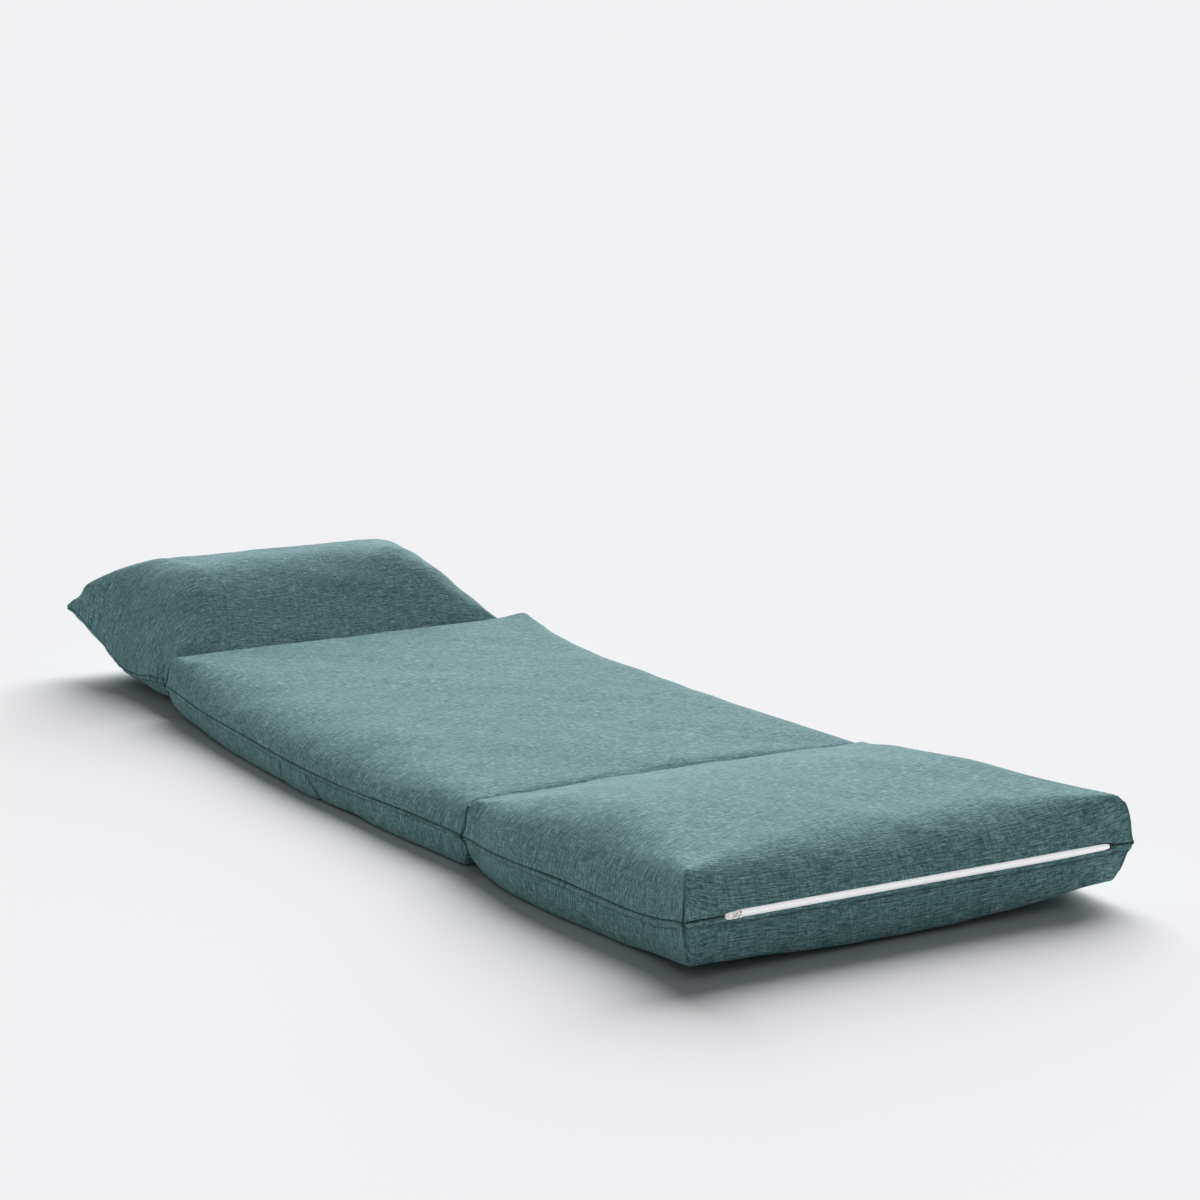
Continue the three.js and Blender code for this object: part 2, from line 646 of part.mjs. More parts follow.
const bridgeFoot = coilFront - touchGap - sliderWall - touchGap;
const pullAxisDrop = pullThickness / 2 + runningGap;
const bridgeInnerHalf = pullThickness / 2 + 2 * runningGap;
const bridgeHalfWidth = pullHalfWidth / 3;

function bridgeShape() {
  const outer = bridgeInnerHalf + bridgeWall;
  const roof = -2 * pullAxisDrop;
  const shape = new THREE.Shape();
  shape.moveTo(-outer, 0);
  shape.lineTo(-outer, roof - bridgeWall);
  shape.lineTo(outer, roof - bridgeWall);
  shape.lineTo(outer, 0);
  shape.lineTo(bridgeInnerHalf, 0);
  shape.lineTo(bridgeInnerHalf, roof);
  shape.lineTo(-bridgeInnerHalf, roof);
  shape.lineTo(-bridgeInnerHalf, 0);
  return shape;
}
const bridge = new THREE.ExtrudeGeometry(bridgeShape(), { depth: 2 * bridgeHalfWidth, bevelEnabled: false });
add("zipper_bridge", bridge, zincSteel, sliderX, bridgeFoot, zipperZ - bridgeHalfWidth);

// Pull tab, lying along the zipper to its near end: a bar under the bridge, two arms and a tab with a hole
function pullShape() {
  const bar = pullThickness / 2;
  const slotHalf = bridgeHalfWidth + runningGap;
  const slotEnd = bridgeInnerHalf + bridgeWall + 2 * runningGap;
  const tabRound = pullHalfWidth;
  const shape = new THREE.Shape();
  shape.moveTo(-bar, -pullHalfWidth);
  shape.lineTo(pullLength - tabRound, -pullHalfWidth);
  shape.absarc(pullLength - tabRound, 0, tabRound, -Math.PI / 2, Math.PI / 2, false);
  shape.lineTo(-bar, pullHalfWidth);
  const slot = new THREE.Path();
  slot.moveTo(bar, -slotHalf);
  slot.lineTo(bar, slotHalf);
  slot.lineTo(slotEnd, slotHalf);
  slot.lineTo(slotEnd, -slotHalf);
  shape.holes.push(slot);
  shape.holes.push(roundHole(pullLength - tabRound, 0, pullHalfWidth / 2));
  return shape;
}
const pullForm = { depth: pullThickness, bevelEnabled: false, curveSegments: 8 };
const pull = new THREE.ExtrudeGeometry(pullShape(), pullForm);
pull.rotateX(Math.PI / 2).rotateZ(Math.PI);
add("zipper_pull", pull, zincSteel, sliderX, bridgeFoot - pullAxisDrop - pullThickness / 2, zipperZ);

// Pillow, with a soft neck where it is sewn to the back
const pillowSizes = {
  start: pillowJointY + touchGap,
  end: headY,
  height: pillowHeight,
  seamShares: [0.245, 0.34, 0.445, 0.535],
  topShares: [0.64, 0.93, 1, 0.93],
  settle: 3,
  lift: 0,
  liftReach: 100,
  sideDraw: 14,
  endDraw: 12,
  startNarrow: 12,
  crownShare: 0.04,
  topRound: { side: 110, sideSwell: 38, start: 110, startSwell: 10, end: 94, endSwell: 22, power: 2.2 },
  lowerRound: { side: 90, sideSwell: 0, start: 90, startSwell: 0, end: 130, endSwell: 0, power: 2 },
};
const pillow = sectionForm(pillowSizes);
const pillowSpan = pillowSizes.end - pillowSizes.start;
const neckPlace = neckReach / pillowSpan;
const pillowGap = touchGap / pillowSpan;
const pillowEdgeSteps = 5;
const pillowMiddleSteps = 2;
const pillowAcross = acrossPlaces(pillowSizes.topRound, pillowEdgeSteps, pillowMiddleSteps);
const pillowAlong = alongPlaces(pillowSizes.topRound, pillowSpan, pillowEdgeSteps, pillowMiddleSteps);
const pillowPlaces = between(pillowAlong, neckPlace + pillowGap, 1);
const neckPlaces = between(pillowAlong, 0, neckPlace);
for (const [end, side, material] of [["top", 1, clothTop], ["bottom", -1, clothUnder]]) {
  add(`pillow_cover_${end}`, coverHalf(pillow, side, pillowAcross, pillowPlaces), material);
  add(`pillow_neck_${end}`, coverHalf(pillow, side, pillowAcross, neckPlaces), material);
}
const fillAlong = [pillowPlaces[0], ...fillPlaces(pillowPlaces.slice(1), pillowSpan)];
add("pillow_fill", fillBetween(pillow, pillowAcross, fillAlong), fibre);

export default bed;
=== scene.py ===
import math

import bpy
import numpy as np
from mathutils import Matrix, Vector


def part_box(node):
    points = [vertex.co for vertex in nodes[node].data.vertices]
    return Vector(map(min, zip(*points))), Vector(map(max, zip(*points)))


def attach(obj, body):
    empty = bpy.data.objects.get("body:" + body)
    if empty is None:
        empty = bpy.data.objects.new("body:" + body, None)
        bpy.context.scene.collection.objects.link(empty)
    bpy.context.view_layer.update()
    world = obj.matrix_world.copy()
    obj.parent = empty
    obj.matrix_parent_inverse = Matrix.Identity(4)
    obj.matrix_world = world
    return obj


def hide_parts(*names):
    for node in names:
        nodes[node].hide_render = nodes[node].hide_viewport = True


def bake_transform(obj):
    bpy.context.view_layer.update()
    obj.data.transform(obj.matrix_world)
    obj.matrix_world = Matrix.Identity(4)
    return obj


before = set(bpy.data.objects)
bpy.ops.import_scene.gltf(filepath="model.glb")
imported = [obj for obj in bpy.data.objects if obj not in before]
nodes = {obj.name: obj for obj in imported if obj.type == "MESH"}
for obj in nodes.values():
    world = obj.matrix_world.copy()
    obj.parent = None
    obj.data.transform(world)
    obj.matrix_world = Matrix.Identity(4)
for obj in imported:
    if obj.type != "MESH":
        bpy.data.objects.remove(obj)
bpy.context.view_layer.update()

scene = bpy.context.scene

# Sizes are in millimetres until a mesh is made, and MM turns them into metres. The bed lies along y, from the
# front of the foot to the end of the pillow. Its near side, next to the camera, is the one with the lower x
MM = 0.001


# Where the pieces lie, from the CAD

def box_mm(name):
    """The lowest and highest corners of a CAD node at rest, in millimetres."""
    low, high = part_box(name)
    return np.array(low) / MM, np.array(high) / MM


def span(first, last):
    """From the start of one node to the end of another, along the bed."""
    return box_mm(first)[0][1], box_mm(last)[1][1]


MATTRESS_START, MATTRESS_END = span("seat_cover_top", "back_cover_top")
FOOT_START, FOOT_END = span("foot_cover_top", "foot_cover_top")
PILLOW_START, PILLOW_END = span("pillow_neck_top", "pillow_cover_top")
BEND_START, BEND_END = span("bend_cover_top", "bend_cover_top")
HALF_WIDTH = box_mm("seat_cover_top")[1][0]
BACK_JOINT_Y = (BEND_START + BEND_END) / 2
COIL_LOW, COIL_HIGH = box_mm("zipper_coil")

# The form of each cushion. A list runs evenly from its start to its end and is read as a smooth curve. The
# seam and the top are shares of the height. The crown is the share of its rise that the top loses at the
# sides, and a draw is how far a side or an end is drawn in. Radii round the edges: lists for the two sides,
# and pairs for the two ends, at the corners and in the middle. A power of 2 makes a round a circle's arc, and
# the corner value says how tightly two rounds meet. The underside would settle a little below the floor and
# is flat there. Its lift at the start is a list from the near side to the far side
PLAIN_FORM = {"lift": [0, 0], "lift_reach": 100, "end_draw": 0, "start_narrow": 0}
MATTRESS = PLAIN_FORM | {
    "start": MATTRESS_START, "end": MATTRESS_END, "height": 102,
    "seam": [0.448, 0.445, 0.395, 0.405, 0.432, 0.44, 0.508],
    "top": [0.93, 0.98, 0.995, 0.995, 1.0, 1.02],
    "crown": [0.083, 0.083, 0.083, 0.075, 0.02],
    "near_draw": [7, -7, -15, -9, 3.5],
    "far_draw": [0, 1, 12, 6, 1],
    "settle": 2, "corner": 10,
    "top_round": {
        "near": [34, 116, 138, 130, 98, 16], "far": [30, 60, 66, 64, 56, 14],
        "start": (20, 56), "end": (12, 22), "power": [2.3, 2.3],
    },
    "low_round": {
        "near": [10, 10, 10, 14, 34], "far": [10, 10, 10, 14, 34],
        "start": (20, 20), "end": (60, 36), "power": [2, 2],
    },
}
FOOT = PLAIN_FORM | {
    "start": FOOT_START, "end": FOOT_END, "height": 146,
    "seam": [0.521, 0.435, 0.384, 0.384, 0.392, 0.384, 0.366, 0.34, 0.322],
    "top": [0.985, 0.992, 0.98, 0.882, 0.69],
    "crown": [0.1, 0.045, 0.03, 0.03],
    "near_draw": [1.5, 7, -2, -10, 4],
    "far_draw": [0, 2, 9.5, 15, 15],
    "settle": 2, "lift": [20, 8, 11, 28], "lift_reach": 260, "corner": 16,
    "top_round": {
        "near": [12, 50, 100, 124, 128, 112, 64, 10], "far": [11, 36, 60, 72, 74, 70, 50, 14],
        "start": (10, 112), "end": (10, 16), "power": [2.3, 2.3],
    },
    "low_round": {
        "near": [18, 18], "far": [18, 18],
        "start": (9, 14), "end": (58, 58), "power": [1.9, 1.9],
    },
}
PILLOW = PLAIN_FORM | {
    "start": PILLOW_START, "end": PILLOW_END, "height": 212,
    "seam": [0.255, 0.231, 0.175, 0.192, 0.35, 0.515],
    "top": [0.7, 0.95, 0.975, 0.92],
    "crown": [0.032, 0.032],
    "near_draw": [8, 8, 14, 17, 4],
    "far_draw": [5, 17, 25, 27, 8],
    "settle": 3, "end_draw": 9, "start_narrow": 12, "corner": 4,
    "top_round": {
        "near": [110, 140, 130, 112, 88], "far": [110, 146, 146, 140, 110],
        "start": (125, 235), "end": (91, 135), "power": [1.6, 1.65, 1.9, 2.1, 2.2],
    },
    "low_round": {
        "near": [80, 80, 95, 115, 120], "far": [80, 80, 95, 115, 120],
        "start": (90, 90), "end": (130, 130), "power": [2, 2, 1.75, 1.6, 1.5],
    },
}


FOOT_SEAM_START = FOOT["seam"][0] * FOOT["height"]
FOOT_SEAM_END = FOOT["seam"][-1] * FOOT["height"]
PILLOW_SEAM_END = PILLOW["seam"][-1] * PILLOW["height"]


# Parts of the materials

def feed(made, name, value):
    """Sets an input of a node to a value, or links a socket to it."""
    if isinstance(value, bpy.types.NodeSocket):
        made.id_data.links.new(value, made.inputs[name])
    else:
        made.inputs[name].default_value = value


def material(name, base, rough, metal=0.0):
    mat = bpy.data.materials.new(name)
    mat.use_nodes = True
    shader = mat.node_tree.nodes["Principled BSDF"]
    feed(shader, "Base Color", (*base, 1))
    feed(shader, "Roughness", rough)
    feed(shader, "Metallic", metal)
    return mat, mat.node_tree, shader


def node(tree, kind, **settings):
    made = tree.nodes.new(kind)
    for name, value in settings.items():
        setattr(made, name, value)
    return made


def math_node(tree, operation, *values):
    made = node(tree, "ShaderNodeMath", operation=operation)
    for place, value in enumerate(values):
        feed(made, place, value)
    return made.outputs[0]


def weighted_sum(tree, *parts):
    """The sum of some sockets, each times its weight."""
    products = [math_node(tree, "MULTIPLY", socket, weight) for socket, weight in parts]
    total = products[0]
    for product in products[1:]:
        total = math_node(tree, "ADD", total, product)
    return total


def scaled(tree, vector, scale, offset=(0, 0, 0)):
    made = node(tree, "ShaderNodeMapping")
    feed(made, "Scale", scale)
    feed(made, "Location", offset)
    feed(made, "Vector", vector)
    return made.outputs["Vector"]


def noise(tree, vector, scale=1.0, detail=2.0, rough=0.5):
    made = node(tree, "ShaderNodeTexNoise")
    feed(made, "Scale", scale)
    feed(made, "Detail", detail)
    feed(made, "Roughness", rough)
    feed(made, "Vector", vector)
    return made.outputs["Fac"]


def ramp(tree, factor, stops):
    made = node(tree, "ShaderNodeValToRGB")
    elements = made.color_ramp.elements
    while len(elements) < len(stops):
        elements.new(0.5)
    for element, (place, colour) in zip(elements, stops):
        element.position = place
        element.color = (*colour, 1)
    feed(made, "Fac", factor)
    return made.outputs["Color"]


def bump(tree, shader, height, strength, distance):
    made = node(tree, "ShaderNodeBump")
    feed(made, "Strength", strength)
    feed(made, "Distance", distance)
    feed(made, "Height", height)
    feed(shader, "Normal", made.outputs["Normal"])


def glow(shader, colour, strength):
    """A little emission in the surface's own colour: painted light that makes the part brighter than the
    lamps alone would.
    """
    feed(shader, "Emission Color", colour)
    feed(shader, "Emission Strength", strength)


def srgb(r, g, b):
    """A colour from 0 to 255, as the linear values that a shader takes."""
    def linear(value):
        value /= 255
        return value / 12.92 if value <= 0.04045 else ((value + 0.055) / 1.055) ** 2.4
    return linear(r), linear(g), linear(b)


def times(colour, factor):
    return tuple(channel * factor for channel in colour)


def cloth_vector(tree):
    """The place on the cloth in metres: x along the weft, y along the warp, z a panel number."""
    return node(tree, "ShaderNodeAttribute", attribute_name="cloth_place").outputs["Vector"]


def object_vector(tree):
    return node(tree, "ShaderNodeTexCoord").outputs["Object"]


# The cloth of the covers: yarns from dark to light, each with its place in the mix of streaks
YARN_SHADES = [
    (0.385, srgb(39, 70, 72)), (0.46, srgb(69, 103, 105)), (0.515, srgb(91, 126, 129)),
    (0.57, srgb(117, 153, 156)), (0.645, srgb(160, 190, 192)),
]
YARN_PITCH = 0.0011
# The colour of the painted shade in folds, creases and seam grooves
PAINTED_FOLD_SHADE = (0.16, 0.19, 0.19, 1)
BROAD_WEIGHT = 0.04
MOTTLE_WEIGHT = 0.05


def woven_cloth(name):
    mat, tree, shader = material(name, srgb(118, 149, 150), 0.92)
    place = cloth_vector(tree)
    long_streak = noise(tree, scaled(tree, place, (34, 520, 7)), detail=2.5, rough=0.6)
    short_streak = noise(tree, scaled(tree, place, (110, 760, 7), (3, 5, 0)), detail=2, rough=0.6)
    warp_streak = noise(tree, scaled(tree, place, (700, 42, 7), (7, 1, 0)), detail=2, rough=0.6)
    slub = noise(tree, scaled(tree, place, (160, 330, 7), (1, 9, 0)), detail=1)
    broad = noise(tree, scaled(tree, place, (5, 7, 1)), detail=3, rough=0.55)
    mottle = noise(tree, scaled(tree, place, (80, 62, 7), (2, 4, 0)), detail=1.5)
    streaks = weighted_sum(tree, (long_streak, 0.42), (short_streak, 0.33), (warp_streak, 0.25))
    fleck = weighted_sum(tree, (streaks, 0.86), (slub, 0.14))
    uneven = weighted_sum(tree, (broad, BROAD_WEIGHT), (mottle, MOTTLE_WEIGHT))
    about_zero = math_node(tree, "SUBTRACT", uneven, (BROAD_WEIGHT + MOTTLE_WEIGHT) / 2)
    colour = ramp(tree, math_node(tree, "ADD", fleck, about_zero), YARN_SHADES)

    # Painted shade: the fold_shade marks darken the cloth towards this colour in folds, creases and seam
    # grooves
    fold = node(tree, "ShaderNodeAttribute", attribute_name="fold_shade").outputs["Fac"]
    dark = node(tree, "ShaderNodeMix", data_type="RGBA", blend_type="MULTIPLY")
    feed(dark, "Factor", math_node(tree, "MULTIPLY", fold, 0.85))
    feed(dark, "A", colour)
    feed(dark, "B", PAINTED_FOLD_SHADE)
    feed(shader, "Base Color", dark.outputs["Result"])

    turns = 2 * math.pi / YARN_PITCH
    parts = node(tree, "ShaderNodeSeparateXYZ")
    feed(parts, 0, place)
    weft, warp = (math_node(tree, "MULTIPLY", parts.outputs[axis], turns) for axis in (0, 1))
    weave = math_node(tree, "MULTIPLY", math_node(tree, "SINE", weft), math_node(tree, "SINE", warp))
    bump(tree, shader, weighted_sum(tree, (weave, 0.35), (streaks, 2.2)), 0.35, 0.0006)
    feed(shader, "Roughness", math_node(tree, "MULTIPLY_ADD", short_streak, -0.18, 1.0))
    feed(shader, "Specular IOR Level", 0.25)
    feed(shader, "Sheen Weight", 0.3)
    feed(shader, "Sheen Roughness", 0.35)
    feed(shader, "Sheen Tint", (*srgb(176, 224, 225), 1))
    return mat


def nylon(name, base, streak):
    """Ribbed nylon, whose darker ribs are its base colour times the streak."""
    mat, tree, shader = material(name, base, 0.5)
    rib = noise(tree, scaled(tree, object_vector(tree), (2400, 300, 900)))
    colour = ramp(tree, rib, [(0.3, times(base, streak)), (0.7, base)])
    feed(shader, "Base Color", colour)
    bump(tree, shader, rib, 0.4, 0.0003)
    feed(shader, "Specular IOR Level", 0.4)
    # Painted light: the nylon glows a little in its own colour
    glow(shader, colour, 0.42)
    return mat


def painted_steel(name, base):
    mat, tree, shader = material(name, base, 0.42, 0.55)
    place = object_vector(tree)
    grain = noise(tree, place, 900, 3, 0.55)
    wear = noise(tree, place, 22, 4, 0.6)
    feed(shader, "Base Color", ramp(tree, wear, [(0.35, base), (0.7, times(base, 1.35))]))
    feed(shader, "Roughness", math_node(tree, "MULTIPLY_ADD", wear, 0.3, 0.28))
    bump(tree, shader, grain, 0.25, 0.0002)
    return mat


def plated_steel(name, base):
    mat, tree, shader = material(name, base, 0.3, 1.0)
    place = object_vector(tree)
    brushed = noise(tree, scaled(tree, place, (60, 900, 240)), detail=3, rough=0.6)
    bloom = noise(tree, place, 60, 3)
    feed(shader, "Base Color", ramp(tree, bloom, [(0.3, times(base, 0.82)), (0.7, base)]))
    feed(shader, "Roughness", math_node(tree, "MULTIPLY_ADD", brushed, 0.3, 0.2))
    bump(tree, shader, brushed, 0.15, 0.0001)
    return mat


def enamel(name, base):
    mat, tree, shader = material(name, base, 0.35, 0.2)
    mottle = noise(tree, object_vector(tree), 260)
    colour = ramp(tree, mottle, [(0.36, times(base, 0.4)), (0.46, base)])
    feed(shader, "Base Color", colour)
    # Painted light: the enamel glows a little in its own colour
    glow(shader, colour, 0.32)
    bump(tree, shader, mottle, 0.2, 0.0002)
    return mat


def webbing_cloth(name, base):
    mat, tree, shader = material(name, base, 0.85)
    rib = noise(tree, scaled(tree, cloth_vector(tree), (220, 1500, 5)))
    colour = ramp(tree, rib, [(0.35, times(base, 0.6)), (0.65, times(base, 1.5))])
    feed(shader, "Base Color", colour)
    bump(tree, shader, rib, 0.6, 0.0005)
    return mat


cloth = woven_cloth("teal_cloth")
tape_nylon = nylon("zipper_tape_nylon", srgb(222, 223, 226), 0.82)
coil_nylon = nylon("zipper_coil_nylon", srgb(236, 236, 238), 0.9)
slider_metal = enamel("zipper_enamel", srgb(226, 223, 216))
tube_paint = painted_steel("tube_paint", srgb(58, 60, 63))
zinc = plated_steel("zinc_plate", srgb(186, 189, 193))
strap_cloth = webbing_cloth("strap_webbing", srgb(47, 48, 50))


# Curves of the cushions' forms

def smooth_between(a, b, c, d, share):
    """A place on the smooth curve through four values in a row, at a share of the way from b to c."""
    cubic = 3 * (b - c) + d - a
    return b + 0.5 * share * (c - a + share * (2 * a - 5 * b + 4 * c - d + share * cubic))


def even_curve(values, t):
    """A list read as a smooth curve, at shares of its length."""
    values = np.asarray(values, float)
    last = len(values) - 1
    place = np.clip(t, 0, 1) * last
    i = np.minimum(np.floor(place).astype(int), last - 1)
    around = [values[np.clip(i + k, 0, last)] for k in (-1, 0, 1, 2)]
    return smooth_between(*around, place - i)


def edge_rise(share, power):
    """How far a rounded edge has risen, from 0 at the edge to 1 at one radius inwards."""
    left = 1 - np.clip(share, 0, 1)
    return (1 - left ** power) ** (1 / power)


def soft_min(a, b, sharp):
    """Near the smaller of two shares from 0 to 1, rounded where they are alike."""
    a = np.maximum(a, 1e-6)
    b = np.maximum(b, 1e-6)
    return (a ** -sharp + b ** -sharp - 1) ** (-1 / sharp)


def edge_places(profiles, spacing, fine):
    """Distances in from an edge, evenly spaced over the steepest profile's cloth, after the fine marks."""
    reach = max(radius for radius, _, _ in profiles)
    d = reach * np.linspace(0, 1, 4001) ** 3
    arc = np.zeros_like(d)
    for radius, height, power in profiles:
        z = height * edge_rise(d / radius, power)
        arc = np.maximum(arc, np.r_[0, np.hypot(np.diff(d), np.diff(z))].cumsum())
    marks = list(fine)
    while marks[-1] + spacing < arc[-1]:
        marks.append(marks[-1] + spacing)
    return np.r_[np.interp(marks, arc, d), reach]


def grid_places(length, starts, ends, wall_step, flat_step, fine, dense):
    """Places along a length as shares, close together in its rounded ends and in the dense stretches."""
    head = edge_places(starts, wall_step, fine)
    tail = length - edge_places(ends, wall_step, fine)[::-1]
    cells = max(2, int(round((tail[0] - head[-1]) / flat_step)))
    places = np.r_[head, np.linspace(head[-1], tail[0], cells + 1)[1:-1], tail]
    for low, high, spacing in dense:
        places = places[(places < low - spacing) | (places > high + spacing)]
        places = np.sort(np.r_[places, np.arange(low, high, spacing)])
    return places / length


def shaped_half(sizes, us, ts, side):
    """A half's points, how far in they lie as shares of the radii, and how far they have risen."""
    u, t = np.meshgrid(us, ts)
    draw = np.where(u < 0, even_curve(sizes["near_draw"], t), even_curve(sizes["far_draw"], t))
    half = HALF_WIDTH - sizes["start_narrow"] * (1 - t) - draw
    end = sizes["end"] - sizes["end_draw"] * (1 - u * u)
    x = u * half
    y = sizes["start"] + (end - sizes["start"]) * t
    turn = sizes["top_round"] if side > 0 else sizes["low_round"]
    power = even_curve(turn["power"], t)
    side_radius = np.where(u < 0, even_curve(turn["near"], t), even_curve(turn["far"], t))

    def end_radius(edge):
        corner, middle = turn[edge]
        return middle + (corner - middle) * u * u

    shares = {
        "side": (half - np.abs(x)) / side_radius,
        "start": (y - sizes["start"]) / end_radius("start"),
        "end": (end - y) / end_radius("end"),
    }
    across = edge_rise(shares["side"], power)
    along = edge_rise(shares["start"], power) * edge_rise(shares["end"], power)
    rise = soft_min(across, along, sizes["corner"])
    seam = even_curve(sizes["seam"], t) * sizes["height"]
    if side > 0:
        full = even_curve(sizes["top"], t) * sizes["height"] - seam
        crown = even_curve(sizes["crown"], t)
        z = seam + full * (1 - crown * u * u) * rise
    else:
        nearness = np.clip(1 - (y - sizes["start"]) / sizes["lift_reach"], 0, 1)
        lift = even_curve(sizes["lift"], (u + 1) / 2) * nearness ** 2
        z = np.maximum(seam - (seam + sizes["settle"] - lift) * rise, 0)
    return np.stack([x, y, z], axis=-1), shares, rise


def grid_faces(numbers, turn):
    """The faces of a grid of vertex numbers, which look up for a turn of 1 and down for one of -1."""
    corners = [numbers[:-1, :-1], numbers[:-1, 1:], numbers[1:, 1:], numbers[1:, :-1]]
    return np.stack(corners[::turn], -1).reshape(-1, 4)


# Marks of the fine steps of a grid, as distances over the cloth from the seam
FINE_MARKS = (0, 0.5, 1.0, 1.6, 2.3, 3.1, 4.0, 5.0, 6.0, 7.0, 8.0, 9.0, 10.0, 11.2, 12.8, 15, 17.6)


class Cushion:
    """Two grids of points, upper and lower, that share the seam round their edge."""

    def __init__(self, sizes, wall_step, flat_step, fine, dense=()):
        self.sizes = sizes
        height = sizes["height"]
        seam = height * np.mean(sizes["seam"])
        top, low = sizes["top_round"], sizes["low_round"]

        def profiles(edge):
            radii = min(top[edge]), max(top[edge])
            rounds = [(radius, height - seam, top["power"][0]) for radius in radii]
            return rounds + [(max(low[edge]), seam, low["power"][0])]

        def places(length, first, last, stretches):
            return grid_places(length, profiles(first), profiles(last), wall_step, flat_step, fine, stretches)

        length = sizes["end"] - sizes["start"]
        start = sizes["start"]
        stretches = [(low_y - start, high_y - start, spacing) for low_y, high_y, spacing in dense]
        self.us = 2 * places(2 * HALF_WIDTH, "near", "far", ()) - 1
        self.ts = places(length, "start", "end", stretches)
        self.top, self.top_shares, self.top_rise = shaped_half(sizes, self.us, self.ts, 1)
        self.low, self.low_shares, self.low_rise = shaped_half(sizes, self.us, self.ts, -1)
        seams = even_curve(sizes["seam"], self.ts) * height
        self.seam = np.broadcast_to(seams[:, None], self.top.shape[:2])
        self.top_shade = np.zeros(self.top.shape[:2])
        self.low_shade = np.zeros(self.low.shape[:2])

    def halves(self):
        """The side, points, shares and rise of the upper half and of the lower half."""
        yield 1, self.top, self.top_shares, self.top_rise
        yield -1, self.low, self.low_shares, self.low_rise

    def numbers(self):
        """Vertex numbers of both grids. The lower grid's rim is the upper grid's."""
        rows, columns = self.top.shape[:2]
        upper = np.arange(rows * columns).reshape(rows, columns)
        inner = (rows - 2) * (columns - 2)
        lower = upper.copy()
        lower[1:-1, 1:-1] = rows * columns + np.arange(inner).reshape(rows - 2, columns - 2)
        return upper, lower

    def faces(self):
        upper, lower = self.numbers()
        return np.concatenate([grid_faces(upper, 1), grid_faces(lower, -1)])

    def joined(self, upper, lower):
        """Values of both grids in the order of the vertices."""
        inner = lower[1:-1, 1:-1]
        return np.concatenate([upper.reshape(-1, upper.shape[-1]), inner.reshape(-1, inner.shape[-1])])

    def normals(self):
        """Outward normals of both grids, as unit vectors."""
        points = self.joined(self.top, self.low)
        faces = self.faces()
        corners = points[faces]
        face_normal = np.cross(corners[:, 2] - corners[:, 0], corners[:, 3] - corners[:, 1])
        total = np.zeros_like(points)
        for k in range(4):
            np.add.at(total, faces[:, k], face_normal)
        total /= np.maximum(np.linalg.norm(total, axis=1, keepdims=True), 1e-9)
        upper, lower = self.numbers()
        return total[upper], total[lower]

    def move(self, upper, lower):
        """Moves the points of both grids, none of them below the floor, and closes the seam again."""
        self.top = self.top + upper
        self.low = self.low + lower
        self.low[..., 2] = np.maximum(self.low[..., 2], 0)
        for edge in (np.s_[0], np.s_[-1], np.s_[:, 0], np.s_[:, -1]):
            self.low[edge] = self.top[edge]

    def push(self, upper_amount, lower_amount):
        """Moves the points along their normals."""
        upper, lower = self.normals()
        self.move(upper * upper_amount[..., None], lower * lower_amount[..., None])

    def nudge(self, centre, radius, shift):
        """Draws the cloth round a point along by a shift, as at an ear or a dimple."""
        moves = []
        for grid in (self.top, self.low):
            near = np.exp(-((grid - centre) ** 2).sum(-1) / radius ** 2)
            moves.append(near[..., None] * np.asarray(shift, float))
        self.move(*moves)

    def darken(self, upper, lower):
        """Marks the painted shade of folds and seams on the cloth, from 0 to 1."""
        self.top_shade = np.maximum(self.top_shade, upper)
        self.low_shade = np.maximum(self.low_shade, lower)


# Meshes

def arc_places(points, axis):
    """How far along the cloth each point of a grid lies, from the middle of the grid, in metres."""
    steps = np.linalg.norm(np.diff(points, axis=axis), axis=-1)
    total = np.insert(np.cumsum(steps, axis=axis), 0, 0, axis=axis)
    middle = np.take(total, [points.shape[axis] // 2], axis=axis)
    return (total - middle) * MM


def cloth_places(grid, panel):
    along = arc_places(grid, 1)
    return np.stack([along, arc_places(grid, 0), np.full_like(along, panel)], -1)


def new_mesh(name, points, faces, places=None, mat=None, smooth=True, shade=None):
    """A new object from points in metres, with its places on the cloth and the painted shade of its folds for
    the weave.
    """
    mesh = bpy.data.meshes.new(name)
    mesh.from_pydata(np.asarray(points, float).tolist(), [], [list(map(int, f)) for f in faces])
    mesh.update()
    if places is not None:
        attribute = mesh.attributes.new("cloth_place", "FLOAT_VECTOR", "POINT")
        attribute.data.foreach_set("vector", np.asarray(places, np.float32).ravel())
        attribute = mesh.attributes.new("fold_shade", "FLOAT", "POINT")
        attribute.data.foreach_set("value", np.zeros(len(points), np.float32) if shade is None else shade)
    if smooth:
        mesh.polygons.foreach_set("use_smooth", np.ones(len(mesh.polygons), bool))
    obj = bpy.data.objects.new(name, mesh)
    scene.collection.objects.link(obj)
    if mat:
        mesh.materials.append(mat)
    return obj


def cushion_object(name, cushion, panel):
    """The cushion's mesh. The lower grid's faces next to the seam share the rim's cloth places."""
    places = cushion.joined(cloth_places(cushion.top, panel), cloth_places(cushion.low, panel))
    shade = cushion.joined(cushion.top_shade[..., None], cushion.low_shade[..., None])
    points = cushion.joined(cushion.top, cushion.low) * MM
    return new_mesh(name, points, cushion.faces(), places, cloth, shade=shade.ravel().astype(np.float32))


